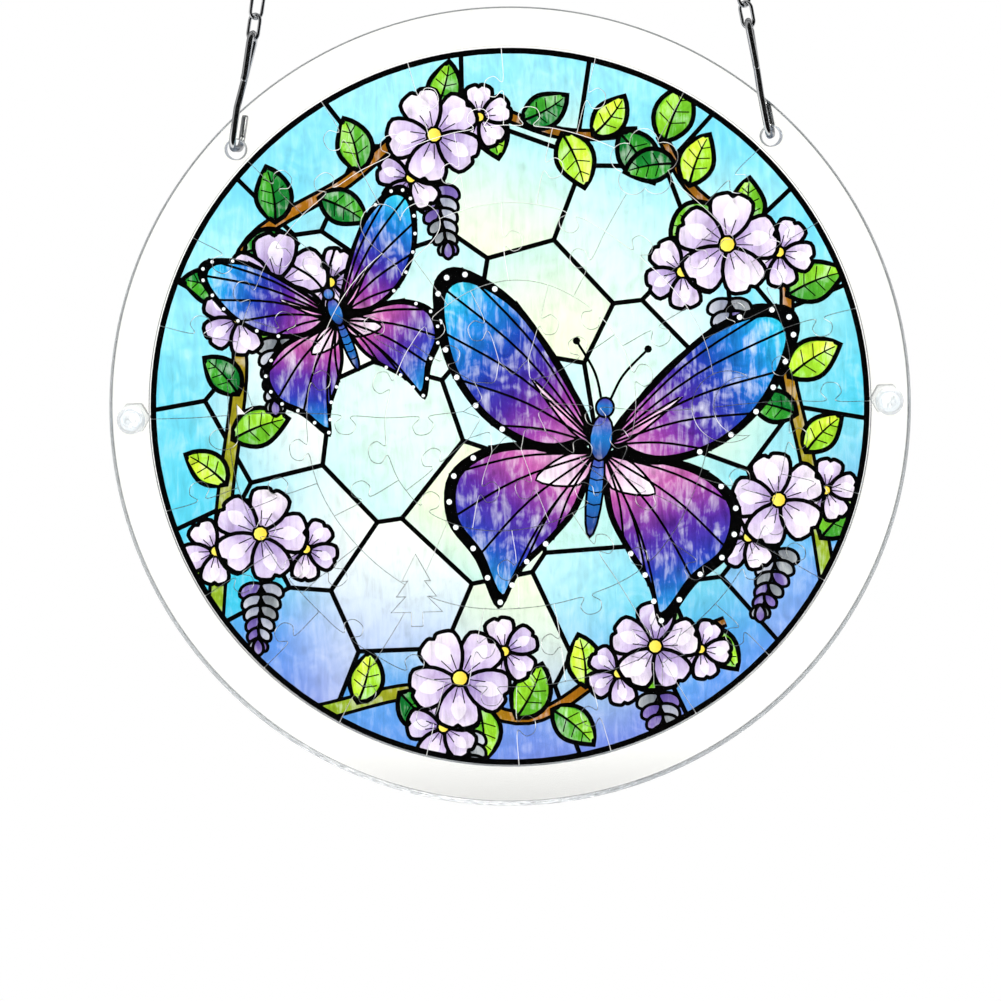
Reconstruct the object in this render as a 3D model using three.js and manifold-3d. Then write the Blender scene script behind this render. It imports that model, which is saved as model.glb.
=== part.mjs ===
// Acrylic puzzle suncatcher, in millimetres, +Z up, with its front towards -Y.
// A round jigsaw puzzle of clear sheet lies in a spacer ring between two clear plates. Two plastic
// screws with hex nuts hold the three sheets together. Two S-hooks hang them from short chains, and
// each chain ends in a ring. The origin is midway between the centres of those two rings.

import * as THREE from "three";
import { mergeVertices } from "three/addons/utils/BufferGeometryUtils.js";
import Module from "manifold-3d";

const wasm = await Module();
wasm.setup();

// Puzzle
const PUZZLE_DIAMETER = 180;
const PIECE_GAP = 0.3; // width of the cut between two pieces
const STAR_DIAMETER = 23.6; // over the points of the middle piece
const STAR_POINT_HEIGHT = 4; // how far its points stand out of its valleys
const RING_PIECES = [10, 12, 18, 24]; // pieces in each ring, from the star out to the edge
const PIECES_JOINED = [2, 1, 2, 2]; // neighbours that one solid holds in each ring
const KNOB_HEAD = 5.2;
const KNOB_NECK = 2.8;
const KNOB_REACH = 4.4;
const KNOB_SHOULDER = 2.4; // least straight cut on each side of a knob
const CUT_SWAY = 1.4; // how far the cuts wander from an even polar pattern
const CUT_SWAY_LENGTH = 11;
const CUT_SWAY_PHASE = 1; // radians between the sway along X and along Z
const KNOB_TURN = 7; // degrees round a circle after which its knobs point the other way
const SHAPE_SIZE = 18; // height of a heart, tree and other shaped piece
const BRIDGE_SIZE = 2; // joins two neighbours inside the thickness
const BRIDGE_THICKNESS = 0.8;
const BRIDGE_INSET = 3; // from the circle at either end of the cut to the middle of the bar

// Clear frame, of three sheets one behind the other
const FRONT_THICKNESS = 3;
const SPACER_THICKNESS = 3;
const BACK_THICKNESS = 3;
const PUZZLE_SIDE_PLAY = 0.4;
const PUZZLE_FACE_PLAY = 0.1;
const RIM_WIDTH = 9.6; // from the puzzle's recess to the outer edge

// Hanging holes and screw holes, each with the rim that is left between it and the recess
const HANG_HOLE_DIAMETER = 5;
const HANG_HOLE_LAND = 1.2;
const HANG_HOLE_ANGLE = 45; // degrees from the horizontal
const SCREW_DIAMETER = 4;
const SCREW_HOLE_PLAY = 0.3;
const SCREW_HOLE_LAND = 1.9;

// Plastic screws and nuts
const HEAD_DIAMETER = 7;
const HEAD_HEIGHT = 2.4;
const RECESS_LENGTH = 3.6; // of each arm pair of the cross recess
const RECESS_WIDTH = 0.9;
const RECESS_DEPTH = 1.3;
const NUT_ACROSS_FLATS = 7;
const NUT_HEIGHT = 3.2;
const SCREW_END = 1.3; // what stands out of the nut

// S-hooks, chains and end rings
const TOUCH_GAP = 0.3; // between metal pieces that touch
const HOOK_WIRE = 1.7;
const HOOK_LENGTH = 30.4;
const HOOK_BEND = 3; // radius of the two bends that pass the hole
const HOOK_TOP_BEND = 2.4;
const HOOK_BACK_LEG = 8.5; // height of the free end behind the frame
const HOOK_FRONT_LEG = 12; // length of the upper loop's free leg, from the top
const HOOK_FLARE = 0.8; // how far that leg's tip stands out
const HOOK_TURN = -9; // degrees that a hook is turned about its own upright
const EDGE_PLAY = 1.2; // the shank clears the frame's edge by this before it leans back
const LEAN = 10.2; // degrees that hooks and chains lean inwards
const LINK_WIRE = 0.9;
const LINK_LENGTH = 7.3;
const LINK_WIDTH = 4.4;
const LINK_TURN = -40; // degrees from the front view to the first link; the next is turned the other way
const LINK_BITE = 0.1; // how deep two links sink into each other where they touch
const LINKS = 3;
const RING_WIRE = 1.2;
const RING_DIAMETER = 12;

// Fineness
const RIM_SIDES = 48;
const HOLE_SIDES = 10;
const EDGE_ARC_STEPS = 2;
const STAR_ARC_STEPS = 3;
const LATHE_SIDES = 10;
const BEND_STEPS = 3;
const WIRE_SIDES = 6;
const LINK_STEPS = 10;
const LINK_SIDES = 5;
const RING_STEPS = 14;

// Sizes that follow from the ones above
const puzzleRadius = PUZZLE_DIAMETER / 2;
const recessRadius = puzzleRadius + PUZZLE_SIDE_PLAY;
const frameRadius = recessRadius + RIM_WIDTH;
const frontFace = -SPACER_THICKNESS / 2 - FRONT_THICKNESS;
const backFace = SPACER_THICKNESS / 2 + BACK_THICKNESS;
const puzzleThickness = SPACER_THICKNESS - 2 * PUZZLE_FACE_PLAY;
const starRadius = STAR_DIAMETER / 2;
const ringDepth = (puzzleRadius - starRadius) / RING_PIECES.length;
const ringRadii = [starRadius, ...RING_PIECES.map((_, i) => starRadius + (i + 1) * ringDepth)];
const hangHoleRadius = HANG_HOLE_DIAMETER / 2;
const screwHoleRadius = SCREW_DIAMETER / 2 + SCREW_HOLE_PLAY;
const knobRoom = KNOB_HEAD + 2 * KNOB_SHOULDER;

const polar = (radius, degrees) => {
  const angle = THREE.MathUtils.degToRad(degrees);
  return new THREE.Vector2(radius * Math.cos(angle), radius * Math.sin(angle));
};

const circle = (radius, sides, centre = new THREE.Vector2()) =>
  Array.from({ length: sides }, (_, i) => polar(radius, (i * 360) / sides).add(centre));

const rectangle = (left, right, bottom, top) => [
  new THREE.Vector2(left, bottom),
  new THREE.Vector2(right, bottom),
  new THREE.Vector2(right, top),
  new THREE.Vector2(left, top),
];

// A closed geometry as a solid, and a solid as a geometry
function solidOf(geometry) {
  const bare = geometry.clone();
  bare.deleteAttribute("normal");
  bare.deleteAttribute("uv");
  const merged = mergeVertices(bare, 1e-4);
  return new wasm.Manifold(
    new wasm.Mesh({
      numProp: 3,
      vertProperties: merged.attributes.position.array,
      triVerts: new Uint32Array(merged.index.array),
    }),
  );
}

function geometryOf(solid) {
  const { vertProperties, triVerts } = solid.getMesh();
  const geometry = new THREE.BufferGeometry();
  geometry.setAttribute("position", new THREE.BufferAttribute(vertProperties, 3));
  geometry.setIndex(new THREE.BufferAttribute(triVerts, 1));
  geometry.computeVertexNormals();
  return geometry;
}

const union = (solids) => solids.reduce((whole, next) => whole.add(next));

// The main body of a cut solid, without crumbs
const mainBody = (solid) =>
  solid.decompose().reduce((best, next) => (next.volume() > best.volume() ? next : best));

// A flat sheet with its outline in the XZ plane, from the depth near to the depth far
function sheet(outline, near, far, holes = []) {
  const shape = new THREE.Shape(outline);
  shape.holes = holes.map((hole) => new THREE.Path(hole));
  const geometry = new THREE.ExtrudeGeometry(shape, { depth: far - near, bevelEnabled: false });
  return geometry.applyMatrix4(new THREE.Matrix4().set(1, 0, 0, 0, 0, 0, -1, far, 0, 1, 0, 0, 0, 0, 0, 1));
}

// A counter-clockwise outline moved inwards by a distance, or outwards where it is negative
function inset(outline, distance) {
  return outline.map((point, i) => {
    const before = point.clone().sub(outline.at(i - 1)).normalize();
    const after = outline[(i + 1) % outline.length].clone().sub(point).normalize();
    const inwards = new THREE.Vector2(-before.y - after.y, before.x + after.x);
    return point.clone().addScaledVector(inwards, distance / (1 + before.dot(after)));
  });
}

// Materials: a new one for each mesh
const clear = () =>
  new THREE.MeshStandardMaterial({ color: 0xf2f7f7, roughness: 0.05, transparent: true, opacity: 0.3 });
const printed = () => new THREE.MeshStandardMaterial({ color: 0x9fdde2, roughness: 0.3 });
const plastic = () =>
  new THREE.MeshStandardMaterial({ color: 0xe9edee, roughness: 0.2, transparent: true, opacity: 0.5 });
const steel = () => new THREE.MeshStandardMaterial({ color: 0xc8c9cc, roughness: 0.25, metalness: 1 });

function named(name, geometry, material) {
  const mesh = new THREE.Mesh(geometry, material);
  mesh.name = name;
  return mesh;
}

// Shaped pieces: each is a few overlapping outlines, all counter-clockwise, about its own middle. The
// crescent's hollow begins at its middle, so that it opens outwards from the circle that the piece sits on.
const crescent = (size) => {
  const outer = size / 2;
  const inner = 0.82 * outer;
  const shift = 0.42 * outer;
  const tipX = (outer ** 2 - inner ** 2 + shift ** 2) / (2 * shift);
  const tipZ = Math.sqrt(outer ** 2 - tipX ** 2);
  const outerTip = THREE.MathUtils.radToDeg(Math.atan2(tipZ, tipX));
  const innerTip = THREE.MathUtils.radToDeg(Math.atan2(tipZ, tipX - shift));
  const along = (radius, from, to, steps, x) =>
    Array.from({ length: steps }, (_, i) =>
      polar(radius, from + ((to - from) * i) / steps).add(new THREE.Vector2(x + inner - shift, 0)),
    );
  return [
    [...along(outer, outerTip, 360 - outerTip, 9, 0), ...along(inner, 360 - innerTip, innerTip, 6, shift)],
  ];
};

const heart = (size) => {
  const unit = size / 29;
  const at = (t) =>
    new THREE.Vector2(
      -16 * Math.sin(t) ** 3,
      13 * Math.cos(t) - 5 * Math.cos(2 * t) - 2 * Math.cos(3 * t) - Math.cos(4 * t) + 2.5,
    ).multiplyScalar(unit);
  const steps = 16;
  return [Array.from({ length: steps }, (_, i) => at((2 * Math.PI * i) / steps))];
};

const flower = (size) => {
  const petals = 5;
  const petal = (i) => circle(0.2 * size, 8, polar(0.28 * size, 90 + (i * 360) / petals));
  return [circle(0.22 * size, 5), ...Array.from({ length: petals }, (_, i) => petal(i))];
};

const firTree = (size) => {
  const tiers = 3;
  const tier = (i) => {
    const foot = (-0.3 + 0.22 * i) * size;
    const half = (0.36 - 0.08 * i) * size;
    return [
      new THREE.Vector2(-half, foot),
      new THREE.Vector2(half, foot),
      new THREE.Vector2(0, foot + 0.38 * size),
    ];
  };
  const trunk = rectangle(-0.08 * size, 0.08 * size, -0.5 * size, -0.24 * size);
  return [trunk, ...Array.from({ length: tiers }, (_, i) => tier(i))];
};

const note = (size) => {
  const head = circle(1, 8).map(
    ({ x, y }) => new THREE.Vector2((0.2 * x - 0.08) * size, (0.15 * y - 0.33) * size),
  );
  const stem = rectangle(0, 0.12 * size, -0.33 * size, 0.5 * size);
  const flag = [
    [0.02, 0.5],
    [0.02, 0.26],
    [0.22, 0.02],
    [0.34, 0.1],
    [0.28, 0.3],
  ].map(([x, z]) => new THREE.Vector2(x, z).multiplyScalar(size));
  return [head, stem, flag];
};

const mapleLeaf = (size) => {
  const lobe = (degrees, length) => {
    const tip = polar(length, degrees);
    const side = (turn) => polar(0.6 * length, degrees + turn);
    return [polar(-0.1 * size, degrees), side(-22), tip, side(22)];
  };
  const lobes = [
    [90, 0.5],
    [40, 0.46],
    [140, 0.46],
    [-12, 0.38],
    [192, 0.38],
  ];
  const stem = rectangle(-0.06 * size, 0.06 * size, -0.5 * size, 0);
  return [circle(0.2 * size, 6), stem, ...lobes.map(([degrees, share]) => lobe(degrees, share * size))];
};

// Each shaped piece sits upright on one of the circles between two rings, at an angle in degrees
const SHAPED_PIECES = [
  { name: "crescent", outlines: crescent, circle: 2, angle: 0 },
  { name: "flower", outlines: flower, circle: 3, angle: 60 },
  { name: "heart", outlines: heart, circle: 2, angle: 120 },
  { name: "note", outlines: note, circle: 3, angle: 180 },
  { name: "fir_tree", outlines: firTree, circle: 2, angle: 240 },
  { name: "maple_leaf", outlines: mapleLeaf, circle: 3, angle: 300 },
];

// Moves a point of the even pattern a little, less towards the puzzle's edge
function sway(point) {
  const reach = CUT_SWAY * (1 - (point.length() / puzzleRadius) ** 2);
  return new THREE.Vector2(
    point.x + reach * Math.sin(point.y / CUT_SWAY_LENGTH),
    point.y + reach * Math.sin(point.x / CUT_SWAY_LENGTH + CUT_SWAY_PHASE),
  );
}

const shapedPieces = SHAPED_PIECES.map(({ name, outlines, circle: index, angle }) => {
  const centre = sway(polar(ringRadii[index], angle));
  const place = (point) => point.clone().add(centre);
  return { name, centre, placed: outlines(SHAPE_SIZE).map((outline) => outline.map(place)) };
});

// No knob is nearer to the middle of a shaped piece than this
const shapeRoom = SHAPE_SIZE / 2 + KNOB_SHOULDER + KNOB_HEAD / 2;

// A knob's corners, as distances along the cut and out of it
const KNOB = [
  [-KNOB_NECK / 2, 0],
  [-KNOB_HEAD / 2, 0.5 * KNOB_REACH],
  [-0.28 * KNOB_HEAD, KNOB_REACH],
  [0.28 * KNOB_HEAD, KNOB_REACH],
  [KNOB_HEAD / 2, 0.5 * KNOB_REACH],
  [KNOB_NECK / 2, 0],
];

// One cut from end to end. place turns distances along it and out of it into a point, and side is the knob's.
function cutLine(place, length, side) {
  const middle = sway(place(0, 0));
  const crowded = shapedPieces.some(({ centre }) => centre.distanceTo(middle) < shapeRoom);
  const knob = crowded || length < knobRoom ? [] : KNOB.map(([along, out]) => place(along, side * out));
  return [place(-length / 2, 0), ...knob, place(length / 2, 0)].map(sway);
}

const sideOf = (number) => (Math.round(number) % 2 ? 1 : -1);
const SAME_ANGLE = 0.01; // degrees within which two spokes count as one

// The cut along the spoke at an angle, from the inner circle of a ring to its outer one
function spoke(ring, degrees) {
  const middle = (ringRadii[ring] + ringRadii[ring + 1]) / 2;
  const across = polar(1, degrees + 90);
  const place = (along, out) => polar(middle + along, degrees).addScaledVector(across, out);
  return cutLine(place, ringDepth, sideOf((degrees * RING_PIECES[ring]) / 360 + ring));
}

// The cut along the circle number index, between two angles. It is in stretches, each from spoke to spoke
// on either side of it.
function arc(index, from, to) {
  const radius = ringRadii[index];
  if (index === 0) {
    return Array.from({ length: STAR_ARC_STEPS + 1 }, (_, i) => {
      const dip = STAR_POINT_HEIGHT * Math.sin((Math.PI * i) / STAR_ARC_STEPS);
      return sway(polar(radius - dip, from + ((to - from) * i) / STAR_ARC_STEPS));
    });
  }
  if (index === RING_PIECES.length) {
    return Array.from({ length: EDGE_ARC_STEPS + 1 }, (_, i) =>
      polar(radius, from + ((to - from) * i) / EDGE_ARC_STEPS),
    );
  }
  const spokes = [RING_PIECES[index - 1], RING_PIECES[index]].flatMap((count) =>
    Array.from({ length: count + 1 }, (_, i) => (i * 360) / count),
  );
  const inside = spokes
    .filter((angle) => angle > from + SAME_ANGLE && angle < to - SAME_ANGLE)
    .sort((a, b) => a - b);
  const stops = [from, ...inside.filter((angle, i) => i === 0 || angle - inside[i - 1] > SAME_ANGLE), to];
  return stops.slice(1).flatMap((stop, i) => {
    const middle = (stops[i] + stop) / 2;
    const place = (along, out) => polar(radius + out, middle + THREE.MathUtils.radToDeg(along / radius));
    const length = THREE.MathUtils.degToRad(stop - stops[i]) * radius;
    const line = cutLine(place, length, sideOf(middle / KNOB_TURN + index));
    return i === 0 ? line : line.slice(1);
  });
}

// The outline of one piece of a ring, counter-clockwise
function pieceOutline(ring, number) {
  const step = 360 / RING_PIECES[ring];
  const from = number * step;
  const to = from + step;
  const sides = [
    arc(ring + 1, from, to),
    spoke(ring, to).reverse(),
    arc(ring, from, to).reverse(),
    spoke(ring, from),
  ];
  return sides.flatMap((side) => side.slice(1));
}

const pieceFront = -puzzleThickness / 2;
const pieceBack = puzzleThickness / 2;
const shapeCutters = shapedPieces.map(({ centre, placed }) => ({
  centre,
  solid: union(
    placed.map((outline) => solidOf(sheet(inset(outline, -PIECE_GAP / 2), 2 * pieceFront, 2 * pieceBack))),
  ),
}));

function pieceSolid(outline) {
  const blank = solidOf(sheet(inset(outline, PIECE_GAP / 2), pieceFront, pieceBack));
  const near = shapeCutters.filter(({ centre }) =>
    outline.some((point) => point.distanceTo(centre) < SHAPE_SIZE),
  );
  return mainBody(near.reduce((whole, { solid }) => whole.subtract(solid), blank));
}

// A small bar inside the thickness, across the spoke that two neighbours share, away from any shaped piece
function bridge(ring, degrees) {
  const ends = [ringRadii[ring] + BRIDGE_INSET, ringRadii[ring + 1] - BRIDGE_INSET];
  const room = (radius) =>
    Math.min(...shapedPieces.map(({ centre }) => centre.distanceTo(polar(radius, degrees))));
  const radius = room(ends[0]) > room(ends[1]) ? ends[0] : ends[1];
  const place = sway(polar(radius, degrees));
  const bar = new THREE.BoxGeometry(BRIDGE_SIZE, BRIDGE_THICKNESS, BRIDGE_SIZE);
  bar.rotateY(-THREE.MathUtils.degToRad(degrees)).translate(place.x, 0, place.y);
  return solidOf(bar);
}

const two = (number) => String(number).padStart(2, "0");

function ringMeshes(ring) {
  const count = RING_PIECES[ring];
  const joined = PIECES_JOINED[ring];
  const title = ring === RING_PIECES.length - 1 ? "puzzle_edge" : `puzzle_ring_${ring + 1}`;
  return Array.from({ length: Math.ceil(count / joined) }, (_, group) => {
    const numbers = Array.from({ length: joined }, (_, i) => group * joined + i).filter((n) => n < count);
    const bridges = numbers.slice(1).map((number) => bridge(ring, (number * 360) / count));
    const solids = numbers.map((number) => pieceSolid(pieceOutline(ring, number)));
    const label = numbers.length > 1 ? "pieces" : "piece";
    const name = [title, label, ...numbers.map((number) => two(number + 1))].join("_");
    return named(name, geometryOf(union([...solids, ...bridges])), printed());
  });
}

function puzzle() {
  const group = new THREE.Group();
  const starStep = 360 / RING_PIECES[0];
  const star = Array.from({ length: RING_PIECES[0] }, (_, i) =>
    arc(0, i * starStep, (i + 1) * starStep).slice(1),
  );
  group.add(named("puzzle_star", geometryOf(pieceSolid(star.flat())), printed()));
  RING_PIECES.forEach((_, ring) => group.add(...ringMeshes(ring)));
  for (const { name, placed } of shapedPieces) {
    const blanks = placed.map((outline) => sheet(inset(outline, PIECE_GAP / 2), pieceFront, pieceBack));
    group.add(named(`puzzle_${name}`, geometryOf(union(blanks.map(solidOf))), printed()));
  }
  return group;
}

// Frame
const hangHoleDistance = recessRadius + HANG_HOLE_LAND + hangHoleRadius;
const screwDistance = recessRadius + SCREW_HOLE_LAND + screwHoleRadius;
const hangHoleAt = (side) => polar(hangHoleDistance, 90 - side * (90 - HANG_HOLE_ANGLE));
const sideHoles = () =>
  [-1, 1].flatMap((side) => [
    circle(hangHoleRadius, HOLE_SIDES, hangHoleAt(side)),
    circle(screwHoleRadius, HOLE_SIDES, new THREE.Vector2(side * screwDistance, 0)),
  ]);

function plate(name, near, far) {
  return named(name, sheet(circle(frameRadius, RIM_SIDES), near, far, sideHoles()), clear());
}

function spacerRing() {
  const holes = [circle(recessRadius, RIM_SIDES), ...sideHoles()];
  const half = SPACER_THICKNESS / 2;
  return named("spacer_ring", sheet(circle(frameRadius, RIM_SIDES), -half, half, holes), clear());
}

// Screw with a domed head and a cross recess, along Y with its head in front
function screw(name, side) {
  const end = backFace + NUT_HEIGHT + SCREW_END + 2 * TOUCH_GAP;
  const shank = SCREW_DIAMETER / 2;
  const seat = frontFace - TOUCH_GAP;
  const head = HEAD_DIAMETER / 2;
  const chamfer = 0.2 * SCREW_DIAMETER;
  const profile = [
    [0, seat - HEAD_HEIGHT],
    [0.5 * head, seat - 0.93 * HEAD_HEIGHT],
    [0.85 * head, seat - 0.65 * HEAD_HEIGHT],
    [head, seat - 0.2 * HEAD_HEIGHT],
    [head, seat],
    [shank, seat],
    [shank, end - chamfer],
    [shank - chamfer, end],
    [0, end],
  ].map(([radius, depth]) => new THREE.Vector2(radius, depth));
  const body = solidOf(new THREE.LatheGeometry(profile, LATHE_SIDES));
  const arm = (width, height) =>
    solidOf(new THREE.BoxGeometry(width, 2 * RECESS_DEPTH, height).translate(0, seat - HEAD_HEIGHT, 0));
  const cross = arm(RECESS_LENGTH, RECESS_WIDTH).add(arm(RECESS_WIDTH, RECESS_LENGTH));
  const mesh = named(name, geometryOf(body.subtract(cross)), plastic());
  mesh.position.x = side * screwDistance;
  return mesh;
}

function nut(name, side) {
  const corner = NUT_ACROSS_FLATS / 2 / Math.cos(Math.PI / 6);
  const bore = circle(SCREW_DIAMETER / 2 + TOUCH_GAP, HOLE_SIDES);
  const near = backFace + TOUCH_GAP;
  const mesh = named(name, sheet(circle(corner, 6), near, near + NUT_HEIGHT, [bore]), plastic());
  mesh.position.x = side * screwDistance;
  return mesh;
}

// A bent wire's middle line, walked from point to point
class Route extends THREE.Curve {
  constructor(points) {
    super();
    this.points = points;
  }

  getPoint(t) {
    const place = t * (this.points.length - 1);
    const index = Math.min(Math.floor(place), this.points.length - 2);
    return this.points[index].clone().lerp(this.points[index + 1], place - index);
  }

  getPointAt(u) {
    return this.getPoint(u);
  }

  getTangentAt(u) {
    const last = this.points.length - 1;
    const index = Math.round(u * last);
    const run = (i) => this.points[i + 1].clone().sub(this.points[i]).normalize();
    return run(Math.max(index - 1, 0)).add(run(Math.min(index, last - 1))).normalize();
  }
}

// S-hook in its own YZ plane, with its lowest bend's middle line at the origin
const hookTop = HOOK_LENGTH - HOOK_WIRE;
const hookTurn = THREE.MathUtils.degToRad(HOOK_TURN);

function hookRoute() {
  const front = frontFace - TOUCH_GAP - HOOK_WIRE / 2;
  const back = backFace + TOUCH_GAP + HOOK_WIRE / 2;
  const clearOfEdge = frameRadius - hangHoleDistance + HOOK_BEND + EDGE_PLAY;
  const bend = (y, z, radius, from, to) =>
    Array.from({ length: BEND_STEPS + 1 }, (_, i) =>
      polar(radius, from + ((to - from) * i) / BEND_STEPS).add(new THREE.Vector2(y, z)),
    );
  const flat = [
    new THREE.Vector2(back, HOOK_BACK_LEG),
    ...bend(back - HOOK_BEND, HOOK_BEND, HOOK_BEND, 0, -90),
    ...bend(front + HOOK_BEND, HOOK_BEND, HOOK_BEND, -90, -180),
    new THREE.Vector2(front, clearOfEdge),
    ...bend(0, hookTop - HOOK_TOP_BEND, HOOK_TOP_BEND, 0, 90),
    ...bend(0, hookTop - HOOK_TOP_BEND, HOOK_TOP_BEND, 90, 180).slice(1),
    new THREE.Vector2(-HOOK_TOP_BEND, hookTop - HOOK_FRONT_LEG + HOOK_WIRE),
    new THREE.Vector2(-HOOK_TOP_BEND - HOOK_FLARE, hookTop - HOOK_FRONT_LEG),
  ];
  return new Route(flat.map(({ x, y }) => new THREE.Vector3(0, x, y)));
}

function hook(name) {
  const section = new THREE.Shape(circle(HOOK_WIRE / 2, WIRE_SIDES));
  const route = hookRoute();
  const settings = { steps: route.points.length - 1, extrudePath: route, bevelEnabled: false };
  const mesh = named(name, new THREE.ExtrudeGeometry(section, settings), steel());
  mesh.rotation.z = hookTurn;
  return mesh;
}

// Chain of oval links, each standing on the one below, from the height of the lowest wire's middle
const linkStretch = (LINK_LENGTH - LINK_WIDTH) / 2;
const linkPitch = LINK_LENGTH - 2 * LINK_WIRE - LINK_BITE;
const chainFoot = hookTop - HOOK_WIRE / 2 - TOUCH_GAP - LINK_WIRE / 2;
const chainTop = chainFoot + (LINKS - 1) * linkPitch + LINK_LENGTH - LINK_WIRE;

function link(number) {
  const radius = (LINK_WIDTH - LINK_WIRE) / 2;
  const geometry = new THREE.TorusGeometry(radius, LINK_WIRE / 2, LINK_SIDES, LINK_STEPS);
  const position = geometry.attributes.position;
  for (let i = 0; i < position.count; i++) {
    const y = position.getY(i);
    position.setY(i, y + linkStretch * Math.tanh(y / LINK_WIRE));
  }
  geometry.rotateX(Math.PI / 2).rotateZ(THREE.MathUtils.degToRad(number % 2 ? -LINK_TURN : LINK_TURN));
  return geometry.translate(0, 0, chainFoot + (LINK_LENGTH - LINK_WIRE) / 2 + number * linkPitch);
}

function chain(name) {
  const links = Array.from({ length: LINKS }, (_, number) => solidOf(link(number)));
  return named(name, geometryOf(union(links)), steel());
}

const ringRadius = (RING_DIAMETER - RING_WIRE) / 2;
const ringHeight = chainTop - LINK_WIRE / 2 - TOUCH_GAP - RING_WIRE / 2 + ringRadius;

function endRing(name) {
  const geometry = new THREE.TorusGeometry(ringRadius, RING_WIRE / 2, WIRE_SIDES, RING_STEPS);
  const turn = LINKS % 2 ? LINK_TURN - 90 : 90 - LINK_TURN;
  geometry.rotateX(Math.PI / 2).rotateZ(THREE.MathUtils.degToRad(turn)).translate(0, 0, ringHeight);
  return named(name, geometry, steel());
}

// Hook, chain and ring of one side, leaning inwards from the hole that the hook hangs in. A turned hook
// meets the hole's edge to one side of its top.
const bendInside = HOOK_BEND - HOOK_WIRE / 2;
const bendRise = HOOK_BEND - Math.sqrt(bendInside ** 2 - (bendInside - TOUCH_GAP) ** 2);
const holeTop = Math.sqrt(hangHoleRadius ** 2 - (backFace * Math.sin(hookTurn)) ** 2);
const hookFoot = holeTop - TOUCH_GAP - bendRise; // above the hole's middle

function suspension(label, side) {
  const lean = THREE.MathUtils.degToRad(-side * LEAN);
  const hole = hangHoleAt(side);
  const group = new THREE.Group();
  group.position.set(hole.x + hookFoot * Math.sin(lean), 0, hole.y + hookFoot * Math.cos(lean));
  group.rotation.y = lean;
  group.add(hook(`hook_${label}`), chain(`chain_${label}`), endRing(`end_ring_${label}`));
  return group;
}

const ringAboveMiddle =
  hangHoleAt(1).y + (hookFoot + ringHeight) * Math.cos(THREE.MathUtils.degToRad(LEAN));

const suncatcher = new THREE.Group();
suncatcher.position.z = -ringAboveMiddle;
suncatcher.add(
  plate("front_plate", frontFace, frontFace + FRONT_THICKNESS),
  spacerRing(),
  plate("back_plate", backFace - BACK_THICKNESS, backFace),
  puzzle(),
  screw("screw_left", -1),
  screw("screw_right", 1),
  nut("nut_left", -1),
  nut("nut_right", 1),
  suspension("left", -1),
  suspension("right", 1),
);

const part = new THREE.Group();
part.add(suncatcher);

export default part;
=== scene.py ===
"""Acrylic puzzle suncatcher: its finished pieces, their materials and a plain studio.

Sizes are in millimetres unless a name says otherwise. A flat outline is an array of complex numbers, as
seen from the front about the middle of the disc: the real part runs to the right and the imaginary part up.
"""

import logging
import math
from collections.abc import Callable, Iterable, Sequence
from dataclasses import dataclass, field
from enum import Enum, IntEnum

import bpy
import numpy as np
from mathutils import Matrix, Vector
from mathutils.geometry import delaunay_2d_cdt


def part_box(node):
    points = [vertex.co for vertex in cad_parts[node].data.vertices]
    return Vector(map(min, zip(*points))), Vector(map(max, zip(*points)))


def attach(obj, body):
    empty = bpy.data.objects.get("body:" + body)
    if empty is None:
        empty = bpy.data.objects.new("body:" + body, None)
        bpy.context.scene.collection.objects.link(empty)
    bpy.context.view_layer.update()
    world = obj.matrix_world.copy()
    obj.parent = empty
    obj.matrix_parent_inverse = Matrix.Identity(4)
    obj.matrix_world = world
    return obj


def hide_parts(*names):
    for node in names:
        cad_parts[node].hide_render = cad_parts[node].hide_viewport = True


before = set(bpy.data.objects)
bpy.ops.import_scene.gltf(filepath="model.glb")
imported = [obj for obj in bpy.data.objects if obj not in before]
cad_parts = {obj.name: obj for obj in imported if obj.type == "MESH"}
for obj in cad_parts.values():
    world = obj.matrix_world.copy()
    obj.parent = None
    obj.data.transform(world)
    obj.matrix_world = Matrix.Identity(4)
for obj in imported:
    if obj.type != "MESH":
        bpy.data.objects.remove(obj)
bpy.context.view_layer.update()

log = logging.getLogger("suncatcher")

MM = 0.001
BODY = "root"
PRINT = "Print"
CORNER_ANGLE = 50  # an edge that turns by more degrees than this is a corner
CUT_PAST = 1  # how far a cutter reaches past what it cuts

Piece = bpy.types.Object
Material = bpy.types.Material
Tree = bpy.types.NodeTree
Socket = bpy.types.NodeSocket
Outline = np.ndarray
Shade = Callable[[Outline], np.ndarray]


def millimetre_box(node: str) -> tuple[Vector, Vector]:
    """Gives a node's lowest and highest corners in millimetres.

    Args:
        node: the node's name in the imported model.

    Returns:
        The lowest and the highest corner.
    """
    low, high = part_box(node)
    return low / MM, high / MM


DISC_LOW, DISC_HIGH = millimetre_box("front_plate")
DISC_HEIGHT = (DISC_LOW.z + DISC_HIGH.z) / 2


def linear(code: str) -> np.ndarray:
    """Turns a colour's sRGB hex code into linear light.

    Args:
        code: the colour as #RRGGBB.

    Returns:
        Red, green and blue from 0 to 1.
    """
    value = np.array([int(code[i : i + 2], 16) for i in (1, 3, 5)]) / 255
    return np.where(value <= 0.04045, value / 12.92, ((value + 0.055) / 1.055) ** 2.4)


def polar(radius: float | np.ndarray, degrees: float | np.ndarray) -> complex | np.ndarray:
    """Gives the point at a radius and an angle, which runs counter-clockwise from the right."""
    return radius * np.exp(1j * np.radians(degrees))


def circle(radius: float, sides: int, centre: complex = 0) -> Outline:
    """Gives a circle as a counter-clockwise outline."""
    return centre + polar(radius, np.arange(sides) * 360 / sides)


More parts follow.
